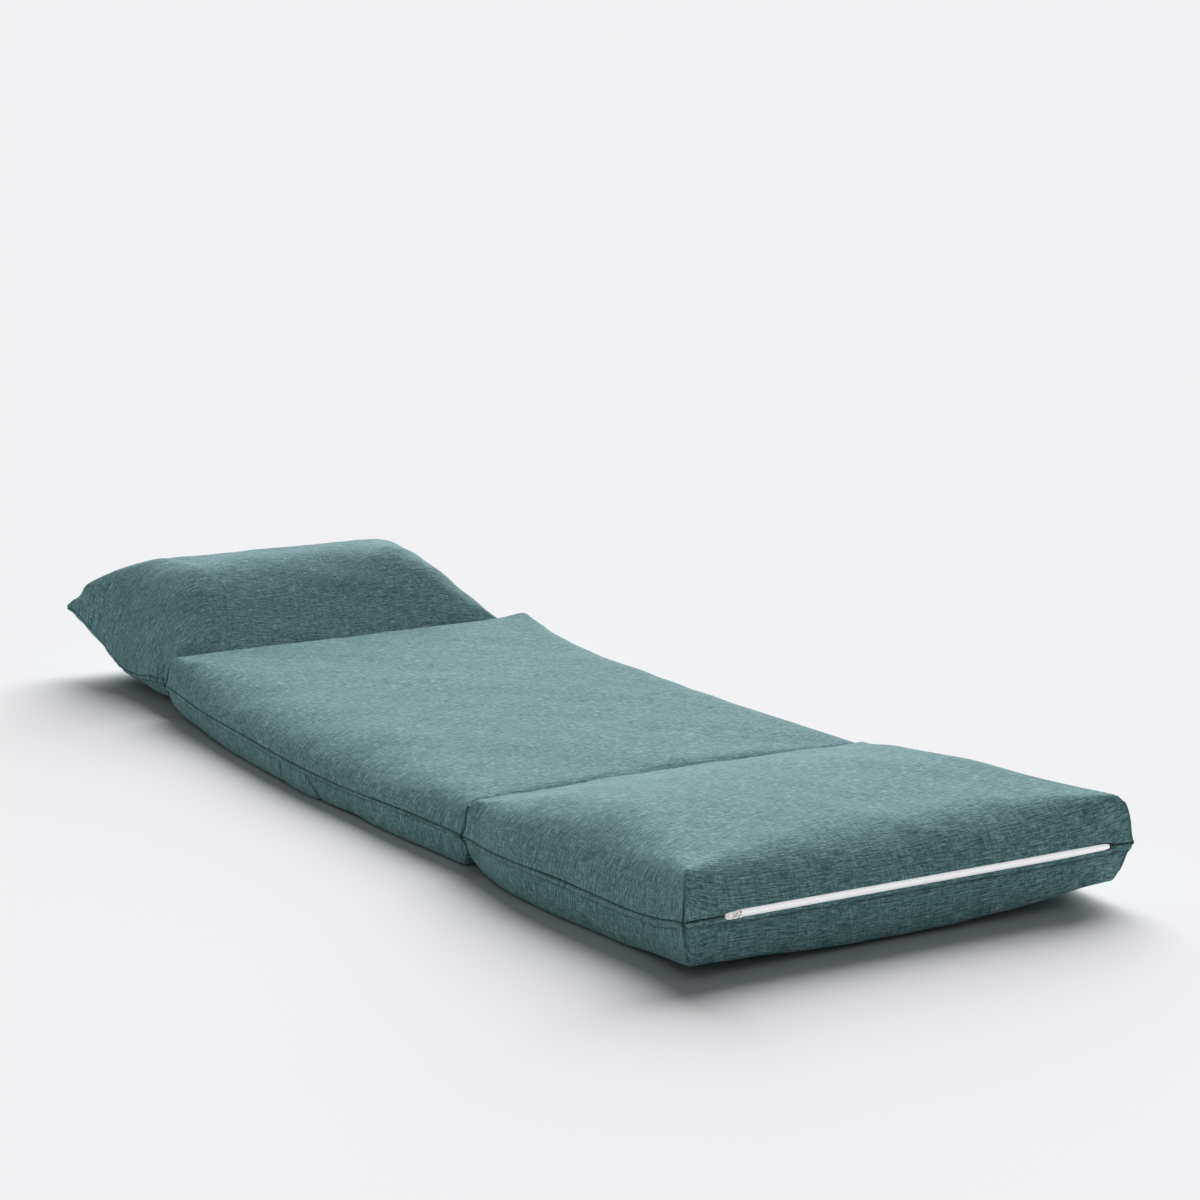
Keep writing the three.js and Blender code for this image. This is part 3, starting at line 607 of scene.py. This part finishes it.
def slab(name, upper, lower, mat, panel):
    """A thin closed body between two grids of points in metres."""
    rows, columns = upper.shape[:2]
    count = rows * columns
    number = np.arange(count).reshape(rows, columns)
    rim = np.r_[number[0, :-1], number[:-1, -1], number[-1, :0:-1], number[:0:-1, 0]]
    following = np.roll(rim, -1)
    wall = np.stack([rim, rim + count, following + count, following], -1)
    faces = np.concatenate([grid_faces(number, 1), grid_faces(number + count, -1), wall])
    points = np.r_[upper.reshape(-1, 3), lower.reshape(-1, 3)]
    upper_places = cloth_places(upper / MM, panel).reshape(-1, 3)
    lower_places = cloth_places(lower / MM, panel + 0.3).reshape(-1, 3)
    return new_mesh(name, points, faces, np.concatenate([upper_places, lower_places]), mat)


# Cloth simulation: air pressure and a little spare cloth over a soft core

SIM_STEP = 9.0
SIM_MARKS = (0, 6)
SIM_FRAMES = 20
SIM_SMOOTHING = 3
SIM_SETTINGS = {
    "quality": 5, "mass": 0.3, "tension_stiffness": 15, "compression_stiffness": 15, "shear_stiffness": 5,
    "bending_stiffness": 0.4, "use_pressure": True, "uniform_pressure_force": 4,
}
RESTING_HEIGHT = 1.0


def resampled(grid, rows, columns):
    """A grid read at fractional row and column numbers, with smooth curves between its points."""
    for axis, place in ((0, rows[:, None, None]), (1, columns[None, :, None])):
        last = grid.shape[axis] - 1
        i = np.minimum(place.astype(int), last - 1)
        around = [np.take(grid, np.clip(i.ravel() + k, 0, last), axis) for k in (-1, 0, 1, 2)]
        grid = smooth_between(*around, place - i)
    return grid


def smoothed(grid, passes):
    """A grid with its short waves taken out and its rim kept."""
    for _ in range(passes):
        inner = grid[1:-1, 1:-1]
        around = grid[:-2, 1:-1] + grid[2:, 1:-1] + grid[1:-1, :-2] + grid[1:-1, 2:]
        grid = grid.copy()
        grid[1:-1, 1:-1] = 0.5 * inner + 0.125 * around
    return grid


def cloth_model(start, spare, hold):
    """A mesh with Blender's Cloth, loosely held, but firmly at its rim and where it rests on the floor."""
    model = new_mesh("sim", start.joined(start.top, start.low) * MM, start.faces())
    upper, _ = start.numbers()
    rim = np.unique(np.r_[upper[0], upper[-1], upper[:, 0], upper[:, -1]])
    resting = np.flatnonzero(start.joined(start.top, start.low)[:, 2] < RESTING_HEIGHT)
    group = model.vertex_groups.new(name="held")
    group.add(list(range(len(model.data.vertices))), hold, "REPLACE")
    group.add([int(i) for i in np.r_[rim, resting]], 1.0, "REPLACE")
    modifier = model.modifiers.new("cloth", "CLOTH")
    for name, value in SIM_SETTINGS.items():
        setattr(modifier.settings, name, value)
    modifier.settings.shrink_min = -spare
    modifier.settings.vertex_group_mass = group.name
    modifier.settings.effector_weights.gravity = 0
    modifier.collision_settings.use_collision = False
    modifier.point_cache.frame_start = 1
    modifier.point_cache.frame_end = SIM_FRAMES
    return model


def simulated_points(model):
    """The points of a cloth model after the last frame, in millimetres. The model is removed."""
    for frame_number in range(1, SIM_FRAMES + 1):
        scene.frame_set(frame_number)
    found = model.evaluated_get(bpy.context.evaluated_depsgraph_get()).data
    points = np.empty(3 * len(found.vertices))
    found.vertices.foreach_get("co", points)
    scene.frame_set(1)
    bpy.data.objects.remove(model)
    return points.reshape(-1, 3) / MM


def swell(cushion, inset, spare, hold, cap):
    """Simulates a coarse copy that starts a little smaller, and moves the cushion as the copy moves."""
    coarse = Cushion(cushion.sizes, SIM_STEP, SIM_STEP, SIM_MARKS)
    start = Cushion(cushion.sizes, SIM_STEP, SIM_STEP, SIM_MARKS)
    start.push(*(-inset * np.clip(rise * 4, 0, 1) for _, _, _, rise in start.halves()))
    points = simulated_points(cloth_model(start, spare, hold))
    rows = np.interp(cushion.ts, coarse.ts, np.arange(len(coarse.ts)))
    columns = np.interp(cushion.us, coarse.us, np.arange(len(coarse.us)))
    moves = []
    for numbers, grid in zip(coarse.numbers(), (coarse.top, coarse.low)):
        change = points[numbers] - grid
        far = np.linalg.norm(change, axis=-1, keepdims=True)
        change *= np.minimum(1, cap / np.maximum(far, 1e-6))
        moves.append(resampled(smoothed(change, SIM_SMOOTHING), rows, columns))
    cushion.move(*moves)


# Wandering folds and creases

def random_length(draws, shortest, longest):
    return math.exp(draws.uniform(math.log(shortest), math.log(longest)))


def waves(place, seed, shortest, longest, count):
    """A smooth random line: the sum of a few sines of a place in millimetres, from about -1 to 1."""
    draws = np.random.default_rng(seed)
    total = np.zeros_like(place, float)
    for _ in range(count):
        length = random_length(draws, shortest, longest)
        total += np.sin(2 * math.pi * (place / length + draws.uniform()))
    return total / math.sqrt(count)


def rolling(x, y, seed, shortest, longest, count):
    """A smooth random field over the plan of the bed, from about -1 to 1."""
    draws = np.random.default_rng(seed)
    total = np.zeros_like(x, float)
    for _ in range(count):
        length = random_length(draws, shortest, longest)
        angle = draws.uniform(0, 2 * math.pi)
        place = x * math.cos(angle) + y * math.sin(angle)
        total += np.sin(2 * math.pi * (place / length + draws.uniform()))
    return total / math.sqrt(count)


def bell(distance, width):
    return np.exp(-(distance / width) ** 2)


def step(value, width):
    """From 0 to 1 as a value passes zero."""
    return 1 / (1 + np.exp(-np.clip(value / width, -40, 40)))


def from_seam(cushion, grid):
    return np.abs(grid[..., 2] - cushion.seam)


def soften(cushion, seed, top_amount, wall_amount):
    """The uneven surface of foam under cloth, which the seam holds still."""
    held_reach = 9
    amounts = []
    for _, grid, _, _ in cushion.halves():
        x, y, z = grid[..., 0], grid[..., 1], grid[..., 2]
        broad = rolling(x, y, seed, shortest=160, longest=520, count=7)
        wall = rolling(x + 0.8 * z, y + 0.5 * z, seed + 1, shortest=60, longest=190, count=7)
        free = 1 - np.exp(-from_seam(cushion, grid) / held_reach)
        amounts.append((top_amount * broad + wall_amount * wall) * free)
    cushion.push(*amounts)


def edge_seam(cushion, depth, lip, lip_width, pucker, seed):
    """The groove of the edge seam, the folded lip of cloth under it, and the puckers above and below it.
    Painted shade darkens the groove and the crease under the lip.
    """
    groove = 1.1
    pucker_start = 3
    pucker_reach = 13
    amounts = []
    shades = []
    lip_width = even_curve(lip_width, cushion.ts)[:, None]
    for side, grid, _, _ in cushion.halves():
        away = from_seam(cushion, grid)
        x, y = grid[..., 0], grid[..., 1]
        run = x + y * np.sign(x)
        shade = bell(away, groove)
        amount = -depth * np.exp(-(away / groove) ** 1.6)
        ripple = waves(run, seed, shortest=14, longest=44, count=9)
        ripple = ripple * np.exp(-away / pucker_reach) * (1 - np.exp(-away / pucker_start))
        amount += pucker * ripple
        if side < 0:
            wander = lip_width * (1 + 0.10 * waves(run, seed + 1, shortest=70, longest=260, count=5))
            strength = 1 + 0.35 * waves(run, seed + 2, shortest=90, longest=300, count=4)
            rise = np.clip(away / lip_width, 0, 1.3) ** 0.8
            amount += lip * strength * step(wander - away, 0.5) * rise
            amount -= 0.4 * lip * strength * bell(away - wander - 1.5, 1.5)
            shade = np.maximum(shade, 0.85 * np.clip(strength, 0, 1.1) * bell(away - wander - 1.0, 1.4))
        amounts.append(amount)
        shades.append(shade)
    cushion.push(*amounts)
    cushion.darken(*shades)


def corner_seams(cushion, depth, width, pinch, far_share=1.0):
    """Seams down the four corners of the walls, each pinched at its top, and fainter on the far side, with
    painted shade along each seam and in each pinch.
    """
    wall_top = 0.93
    notch_height = 0.9
    amounts = []
    shades = []
    for side, grid, shares, rise in cushion.halves():
        turn = cushion.sizes["top_round"] if side > 0 else cushion.sizes["low_round"]
        strength = np.where(grid[..., 0] < 0, 1, far_share)
        amount = np.zeros(rise.shape)
        shade = np.zeros(rise.shape)
        for end in ("start", "end"):
            off = (shares["side"] - shares[end]) * min(*turn["near"], *turn[end])
            here = strength * (shares[end] < 1) * (shares["side"] < 1)
            wall = step(wall_top - rise, 0.02)
            amount -= depth * bell(off, width) * wall * here
            shade = np.maximum(shade, 0.9 * bell(off, 0.9 * width) * wall * here)
            if side > 0:
                notch = bell(off, 1.8 * width) * bell(rise - notch_height, 0.09) * here
                amount -= pinch * notch
                shade = np.maximum(shade, notch)
        amounts.append(amount)
        shades.append(shade)
    cushion.push(*amounts)
    cushion.darken(*shades)


def tuck(cushion, y, reach, amount):
    """Draws the side walls in next to an end, so that the seam stands out there as an ear."""
    side_band = 60
    seam_reach = 5
    moves = []
    for grid in (cushion.top, cushion.low):
        near = np.clip(1 - np.abs(grid[..., 1] - y) / reach, 0, 1) ** 2
        away = 1 - np.exp(-from_seam(cushion, grid) / seam_reach)
        out = np.clip((np.abs(grid[..., 0]) - HALF_WIDTH + side_band) / side_band, 0, 1)
        move = np.zeros(grid.shape)
        move[..., 0] = -np.sign(grid[..., 0]) * amount * near * away * out
        moves.append(move)
    cushion.move(*moves)


def crease_shade(cushion, y, width, amount):
    """Painted shade on the cloth where two cushions meet above the seam."""
    seam_band = 8
    grid = cushion.top
    here = amount * bell(grid[..., 1] - y, width) * (grid[..., 2] > cushion.seam + seam_band)
    cushion.darken(here, np.zeros(cushion.low.shape[:2]))


def unit(vector):
    return np.asarray(vector, float) / np.linalg.norm(vector)


def pleat(cushion, start, heading, sideways, length, width, depth):
    """A short fold that runs from a place on the seam: a groove with a ridge beside it, and painted shade in
    the groove.
    """
    amounts = []
    shades = []
    for _, grid, _, _ in cushion.halves():
        offset = grid - np.asarray(start, float)
        along = offset @ unit(heading)
        across = offset @ unit(sideways)
        fade = step(along + 2, 1.5) * np.exp(-(np.maximum(along, 0) / length) ** 2)
        profile = 0.7 * bell(across - 1.7 * width, 1.2 * width) - bell(across, width)
        amounts.append(depth * fade * profile)
        shades.append(np.clip(0.16 * depth, 0, 0.9) * fade * bell(across, 0.5 * width))
    cushion.push(*amounts)
    cushion.darken(*shades)


# The mattress: one cover over seat, bend and back

GUSSET_FAR_Y = BACK_JOINT_Y + 39
GUSSET_NEAR_Y = BACK_JOINT_Y - 84
GUSSET_LEAN = 48.0


def gusset(cushion, depth, width, bulge):
    """The strip let into the lower band at the bend: a straight and a curved seam, and slack between. Both
    seams get painted shade.
    """
    y, z = cushion.low[..., 1], cushion.low[..., 2]
    share = np.clip(z / cushion.seam, 0, 1)
    near_line = GUSSET_NEAR_Y + GUSSET_LEAN * share ** 1.6
    wall = step(0.86 - share, 0.02)
    near_seam = bell(y - near_line, width)
    far_seam = bell(y - GUSSET_FAR_Y, 1.3 * width)
    inside = step(y - near_line, 1.5) * step(GUSSET_FAR_Y - y, 1.5)
    middle = np.clip((y - near_line) / (GUSSET_FAR_Y - near_line), 0, 1)
    slack = (4 * middle * (1 - middle)) ** 0.5 * np.sin(math.pi * share ** 0.7)
    amount = -depth * (near_seam + 1.3 * far_seam) * wall
    amount += bulge * inside * slack * (cushion.low_rise < 1)
    none = np.zeros(cushion.top.shape[:2])
    cushion.push(none, amount)
    cushion.darken(none, (near_seam + far_seam) * wall)


def make_mattress():
    form = Cushion(MATTRESS, wall_step=3.5, flat_step=7.2, fine=FINE_MARKS, dense=[
        (GUSSET_NEAR_Y - 6, GUSSET_NEAR_Y + GUSSET_LEAN + 6, 1.0), (GUSSET_FAR_Y - 8, GUSSET_FAR_Y + 8, 1.0)])
    soften(form, seed=21, top_amount=1.3, wall_amount=0.7)
    swell(form, inset=2.0, spare=0.0, hold=0.5, cap=4.0)
    tuck(form, MATTRESS_START, reach=22, amount=6)
    tuck(form, MATTRESS_END, reach=18, amount=5)
    gusset(form, depth=3.0, width=2.6, bulge=5.0)
    corner_seams(form, depth=0.9, width=1.3, pinch=0.8)
    edge_seam(form, depth=3.0, lip=2.0, lip_width=[4, 5, 6.5, 6], pucker=0.35, seed=31)
    form.nudge((322, MATTRESS_END - 12, 98), radius=30, shift=(1, 2, 4))
    crease_shade(form, MATTRESS_START, width=5.0, amount=0.55)
    crease_shade(form, MATTRESS_END, width=4.0, amount=0.4)
    mattress = cushion_object("mattress_cover", form, 1)
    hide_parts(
        "seat_cover_top", "seat_cover_bottom", "bend_cover_top", "bend_gusset", "back_cover_top",
        "back_cover_bottom", "seat_foam", "seat_under_pad", "seat_frame_filler", "back_foam",
        "back_under_pad", "back_frame_filler", "bend_foam")
    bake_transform(mattress)


# The foot cushion, with the zipper's opening in its front seam

ZIP_Z = FOOT_SEAM_START
ZIP_NEAR_X, ZIP_FAR_X = COIL_LOW[0], COIL_HIGH[0]
ZIP_HALF = 3.6
ZIP_NEAR_REACH = 36.0
ZIP_FAR_REACH = 16.0


def zip_half(x):
    """Half of the height of the opening at a place along it, nothing past its ends."""
    near = 1 - np.clip((x - ZIP_NEAR_X) / ZIP_NEAR_REACH, 0, 1)
    far = 1 - np.clip((ZIP_FAR_X - x) / ZIP_FAR_REACH, 0, 1)
    return ZIP_HALF * np.sqrt(np.maximum(1 - near ** 2, 0) * np.maximum(1 - far ** 2, 0))


def zip_lips(cushion, forward, sink):
    """Opens the front seam round the zipper, with a rolled edge of cloth above and below it, and painted
    shade in the crease above the opening and under the lower lip.
    """
    front_band = 20
    before_near = 30
    past_far = 20
    edge = 0.5
    rolled = 1.5
    upper_fall = 16
    lower_fall = 6
    moves = []
    shades = []
    for side, grid, _, _ in cushion.halves():
        x, away = grid[..., 0], from_seam(cushion, grid)
        in_front = step(front_band - (grid[..., 1] - cushion.sizes["start"]), 1.5)
        past = np.maximum(away - edge, 0)
        run = step(x - ZIP_NEAR_X + before_near, 8) * step(ZIP_FAR_X + past_far - x, 6)
        fall = upper_fall if side > 0 else lower_fall
        roll = forward * np.clip(past / rolled, 0, 1) ** 0.5
        roll *= np.exp(-(np.maximum(past - rolled, 0) / fall) ** 2)
        move = np.zeros(grid.shape)
        move[..., 1] = (sink * step(0.8 - away, 0.2) - roll) * run * in_front
        move[..., 2] = side * zip_half(x) * np.exp(-(past / upper_fall) ** 2) * (away > 0.2) * in_front
        moves.append(move)
        crease = bell(away - edge, 1.2) if side > 0 else 0.9 * bell(away - 9.2, 1.8)
        shades.append(crease * run * in_front)
    cushion.move(*moves)
    cushion.darken(*shades)


def make_foot():
    form = Cushion(FOOT, wall_step=3.2, flat_step=6.5, fine=FINE_MARKS)
    soften(form, seed=41, top_amount=1.4, wall_amount=0.8)
    swell(form, inset=2.0, spare=0.002, hold=0.45, cap=4.0)
    tuck(form, FOOT_END, reach=10, amount=3)
    tuck(form, FOOT_START, reach=8, amount=1.5)
    corner_seams(form, depth=1.8, width=1.9, pinch=3.6, far_share=0.3)
    edge_seam(form, depth=3.0, lip=2.8, lip_width=[8, 7.5, 6, 3.5], pucker=0.4, seed=51)
    zip_lips(form, forward=2.4, sink=1.2)
    # Ears at the seam's corners and under the front corners, then the far front corner's fuller form
    for sign in (-1, 1):
        form.nudge((sign * 334, FOOT_START, FOOT_SEAM_START), radius=9, shift=(sign * 2.5, -2.5, 0))
        form.nudge((sign * 340, FOOT_END, FOOT_SEAM_END), radius=7, shift=(sign * 5, 2.5, 2))
        form.nudge((sign * 330, FOOT_START + 4, FOOT["lift"][0] - 2), radius=7, shift=(sign * 2.5, -3, -3))
    form.nudge((338, FOOT_START + 18, 92), radius=34, shift=(6, -2, 0))
    form.nudge((316, FOOT_START + 36, 126), radius=66, shift=(4, -2, 4.5))
    crease_shade(form, FOOT_END, width=3.0, amount=0.55)
    foot_cushion = cushion_object("foot_cushion", form, 3)
    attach(foot_cushion, "foot")
    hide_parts("foot_cover_top", "foot_cover_bottom", "foot_foam")


# The pillow, sewn on at the head. Folds run up from both sides of its seam, near the neck and near the head.
# Each has its place from that end of the pillow and its height, then its length and its depth

NECK_FOLDS = ((20, 50, 26, 4.0), (42, 48, 30, 6.5), (62, 46, 24, 4.5), (92, 42, 30, 2.2))
HEAD_FOLDS = ((-66, 88, 20, 2.6), (-86, 76, 20, 1.8), (-28, 104, 20, 1.6))
FOLD_X = 330


def make_pillow():
    form = Cushion(PILLOW, wall_step=3.6, flat_step=7.0, fine=FINE_MARKS, dense=[
        (PILLOW_START + 18, PILLOW_START + 112, 1.3), (PILLOW_START + 330, PILLOW_START + 392, 1.6)])
    soften(form, seed=61, top_amount=0.8, wall_amount=0.7)
    swell(form, inset=4.0, spare=0.012, hold=0.2, cap=9.0)
    edge_seam(form, depth=2.8, lip=2.0, lip_width=[6, 6], pucker=0.6, seed=71)
    for sign in (-1, 1):
        form.nudge((sign * 325, PILLOW_END - 8, 136), radius=15, shift=(-sign * 4, -3, -5))
        form.nudge((sign * 336, PILLOW_END, PILLOW_SEAM_END), radius=8, shift=(sign * 5, 3, 0))
        for place, height, length, depth in NECK_FOLDS:
            start = (sign * FOLD_X, PILLOW_START + place, height)
            heading = (-sign * 0.5, 0.3 + 0.004 * place, 0.8)
            pleat(form, start, heading, (0, 1, -0.3), length, 3.2, depth)
        for place, height, length, depth in HEAD_FOLDS:
            start = (sign * FOLD_X, PILLOW_END + place, height)
            pleat(form, start, (-sign * 0.6, -0.5, 0.6), (0.3 * sign, 1, 0.3), length, 3.6, depth)
    pillow = cushion_object("pillow_cushion", form, 5)
    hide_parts("pillow_cover_top", "pillow_cover_bottom", "pillow_neck_top", "pillow_neck_bottom",
                "pillow_fill")
    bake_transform(pillow)


make_mattress()
make_foot()
make_pillow()


# The cloth strip of the foot joint and the elastic straps over the frames, in metres

STRIP_SAG = 0.0002
STRIP_LIFT = 0.0001
STRIP_WAVES = (61, 300)
WEB_EDGE = 0.003
WEB_RIB_PITCH = 0.004
WEB_RIB = 0.12
WEB_EDGE_SHARE = 0.35
WEB_RISE_SHARE = 0.6


def plan_grid(low, high, columns, rows):
    return np.meshgrid(np.linspace(low.x, high.x, columns), np.linspace(low.y, high.y, rows))


def make_hinge_cloth():
    low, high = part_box("foot_hinge_strip")
    gx, gy = plan_grid(low, high, columns=120, rows=25)
    sag = STRIP_SAG * np.sin(gx * STRIP_WAVES[0]) * np.sin(gy * STRIP_WAVES[1])
    upper = np.stack([gx, gy, high.z - STRIP_SAG + sag], -1)
    lower = np.stack([gx, gy, np.full_like(gx, low.z + STRIP_LIFT)], -1)
    hinge_cloth = slab("foot_hinge_cloth", upper, lower, cloth, 7)
    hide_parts("foot_hinge_strip")
    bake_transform(hinge_cloth)


def make_strap(body, number):
    low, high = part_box(f"{body}_strap_{number}")
    gx, gy = plan_grid(low, high, columns=140, rows=13)
    edge = np.clip(np.minimum(gy - low.y, high.y - gy) / WEB_EDGE, 0, 1) ** 0.5
    middle = (low.z + high.z) / 2
    rib = 1 - WEB_RIB * np.cos(gx * 2 * math.pi / WEB_RIB_PITCH)
    fullness = WEB_EDGE_SHARE + WEB_RISE_SHARE * edge
    thick = (high.z - low.z) / 2 * fullness * rib / (1 + WEB_RIB)
    upper = np.stack([gx, gy, middle + thick], -1)
    lower = np.stack([gx, gy, middle - thick], -1)
    strap = slab(f"{body}_strap_web_{number}", upper, lower, strap_cloth, 9 + number)
    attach(strap, body)
    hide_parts(f"{body}_strap_{number}")


make_hinge_cloth()
for body in ("seat", "back"):
    for number in (1, 2, 3):
        make_strap(body, number)


# The zipper: two woven tapes that fill the opening, a coil of fine turns between them, and the metal pieces

TAPE_BACK = box_mm("zipper_tape_upper")[1][1]
TAPE_THICK = 0.55
TAPE_BULGE = 0.35
TAPE_RIB = 0.12
TAPE_RIBS = 7
TAPE_MARGIN = 1.5
COIL_LAP = 0.8
COIL_HALF = (COIL_HIGH[2] - COIL_LOW[2]) / 2
COIL_DEPTH = COIL_HIGH[1] - COIL_LOW[1]
COIL_PITCH = 1.6
COIL_END_GAP = 1.0
SLIDER_X = sum(box_mm("zipper_slider"))[0] / 2

# The photo's zipper runs a little lower than the CAD's, and its stops are hidden by the cloth
ZIP_DROP = ZIP_Z - (COIL_LOW[2] + COIL_HIGH[2]) / 2
STOP_SINK = 6.0


def on_foot(obj, cad_name):
    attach(obj, "foot")
    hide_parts(cad_name)


def make_tape(name, sign):
    x = np.linspace(ZIP_NEAR_X + TAPE_MARGIN, ZIP_FAR_X - TAPE_MARGIN, num=400)
    gx, share = np.meshgrid(x, np.linspace(0, 1, num=13))
    outer = np.maximum(zip_half(gx) + TAPE_MARGIN, COIL_HALF - COIL_LAP / 2)
    inner = np.minimum(COIL_HALF - COIL_LAP, zip_half(gx) / 2)
    z = ZIP_Z + sign * (inner + (outer - inner) * share)
    rib = TAPE_RIB * np.cos(share * TAPE_RIBS * 2 * math.pi)
    front_y = TAPE_BACK - TAPE_THICK - TAPE_BULGE * np.sin(math.pi * share) - rib
    front = np.stack([gx, front_y, z], -1) * MM
    back = np.stack([gx, np.full_like(gx, TAPE_BACK), z], -1) * MM
    order = slice(None) if sign > 0 else slice(None, None, -1)
    tape = slab(f"zipper_tape_{name}_weave", front[order], back[order], tape_nylon, 15 + sign)
    on_foot(tape, f"zipper_tape_{name}")


def make_coil():
    """A half round bead along the seam, ribbed by the coil's turns, that closes to a point at its ends."""
    places_per_turn = 8
    point_share = 0.05
    lean_share = 0.12
    rib_share = 0.13
    cleft_share = 0.30
    x = np.arange(SLIDER_X, ZIP_FAR_X - COIL_END_GAP, COIL_PITCH / places_per_turn)
    gx, angle = np.meshgrid(x, np.linspace(-math.pi / 2, math.pi / 2, num=11))
    size = np.clip(zip_half(gx) / COIL_HALF, point_share, 1)
    turn = np.cos(2 * math.pi * (gx / COIL_PITCH + lean_share * np.sign(angle)))
    cleft = 1 - cleft_share * bell(angle, 0.16)
    radius = size * (1 - rib_share + rib_share * turn * np.cos(angle) ** 0.5) * cleft
    y = COIL_HIGH[1] - COIL_DEPTH * radius * np.cos(angle)
    z = ZIP_Z + COIL_HALF * size * np.sin(angle)
    front = np.stack([gx, y, z], -1)
    back = np.stack([gx, np.full_like(gx, COIL_HIGH[1]), z], -1)
    on_foot(slab("zipper_coil_turns", front * MM, back * MM, coil_nylon, 18), "zipper_coil")


def bevelled(name, cad_name, body, width, sunk=0.0):
    """A copy of a CAD node with its edges rounded, sunk into the seam where the cloth hides it."""
    mesh = nodes[cad_name].data.copy()
    mesh.transform(Matrix.Translation((0, sunk * MM, ZIP_DROP * MM)))
    obj = bpy.data.objects.new(name, mesh)
    scene.collection.objects.link(obj)
    mesh.materials.clear()
    mesh.materials.append(slider_metal)
    modifier = obj.modifiers.new("round", "BEVEL")
    modifier.width = width * MM
    modifier.segments = 3
    modifier.limit_method = "ANGLE"
    modifier.angle_limit = math.radians(35)
    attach(obj, body)
    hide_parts(cad_name)


make_tape("upper", 1)
make_tape("lower", -1)
make_coil()
bevelled("zipper_slider_body", "zipper_slider", "slider", 0.5)
bevelled("zipper_slider_bridge", "zipper_bridge", "slider", 0.3)
bevelled("zipper_pull_tab", "zipper_pull", "pull", 0.35)
bevelled("zipper_stop_near_clip", "zipper_stop_near", "foot", 0.3, STOP_SINK)
bevelled("zipper_stop_far_clip", "zipper_stop_far", "foot", 0.3, STOP_SINK)

# The frames and the ratchet hinges keep their CAD shapes
for name, obj in nodes.items():
    if name.endswith("_tube"):
        steel = tube_paint
    elif name.startswith(("left_", "right_")):
        steel = zinc
    else:
        continue
    obj.data.materials.clear()
    obj.data.materials.append(steel)


# Floor, lights, world and camera

FLOOR_COLOUR = srgb(241, 241, 243)
FLOOR_HALF = 60.0
FLOOR_Z = -0.0004


def make_floor():
    mat, tree, shader = material("floor_paint", FLOOR_COLOUR, 0.9)
    feed(shader, "Specular IOR Level", 0.0)
    bump(tree, shader, noise(tree, object_vector(tree), 40), 0.02, 0.0005)
    corners = [(x * FLOOR_HALF, y * FLOOR_HALF, FLOOR_Z) for x, y in ((-1, -1), (1, -1), (1, 1), (-1, 1))]
    floor = new_mesh("floor", corners, [(0, 1, 2, 3)], None, mat, smooth=False)
    return floor


def sun(name, towards, strength, angle, colour=(1, 1, 1)):
    lamp = bpy.data.lights.new(name, "SUN")
    lamp.energy = strength
    lamp.angle = math.radians(angle)
    lamp.color = colour
    obj = bpy.data.objects.new(name, lamp)
    obj.rotation_euler = Vector(towards).to_track_quat("Z", "Y").to_euler()
    scene.collection.objects.link(obj)
    return obj


def make_lights(floor):
    """A soft key from behind, and a fill in front that is kept off the floor, which keeps the shadow."""
    sun("key_light", (0.50, 0.56, 0.45), strength=5.40, angle=54)
    fill = sun("front_fill", (-0.70, -0.66, 0.32), strength=1.34, angle=90, colour=(1, 0.99, 0.97))
    flagged = bpy.data.collections.new("off_the_floor")
    flagged.objects.link(floor)
    fill.light_linking.receiver_collection = flagged
    flagged.collection_objects[0].light_linking.link_state = "EXCLUDE"


def make_world():
    """White light from all round, with the floor's colour where the camera or a reflection sees it."""
    world = bpy.data.worlds.new("studio")
    scene.world = world
    world.use_nodes = True
    tree = world.node_tree
    light = tree.nodes["Background"]
    feed(light, "Color", (1, 1, 1, 1))
    feed(light, "Strength", 0.12)
    backdrop = node(tree, "ShaderNodeBackground")
    feed(backdrop, "Color", (*FLOOR_COLOUR, 1))
    feed(backdrop, "Strength", 1.0)
    rays = node(tree, "ShaderNodeLightPath").outputs
    direct = math_node(tree, "MAXIMUM", rays["Is Camera Ray"], rays["Is Glossy Ray"])
    seen = math_node(tree, "MAXIMUM", direct, rays["Is Transmission Ray"])
    mix = node(tree, "ShaderNodeMixShader")
    feed(mix, 0, seen)
    feed(mix, 1, light.outputs[0])
    feed(mix, 2, backdrop.outputs[0])
    feed(tree.nodes["World Output"], "Surface", mix.outputs[0])


def make_camera():
    """The photograph's camera, fitted to corners and seams of the bed: level, turned and tilted down."""
    tilt = 0.1974
    turn = -0.5339
    data = bpy.data.cameras.new("camera")
    data.lens = 91.917
    data.sensor_width = 36
    data.clip_end = 200
    camera = bpy.data.objects.new("camera", data)
    camera.location = (-2.191, -3.937, 1.161)
    camera.rotation_euler = (math.pi / 2 - tilt, 0, turn)
    scene.collection.objects.link(camera)
    scene.camera = camera


make_lights(make_floor())
make_world()
make_camera()
scene.view_settings.view_transform = "Standard"

bpy.context.view_layer.update()
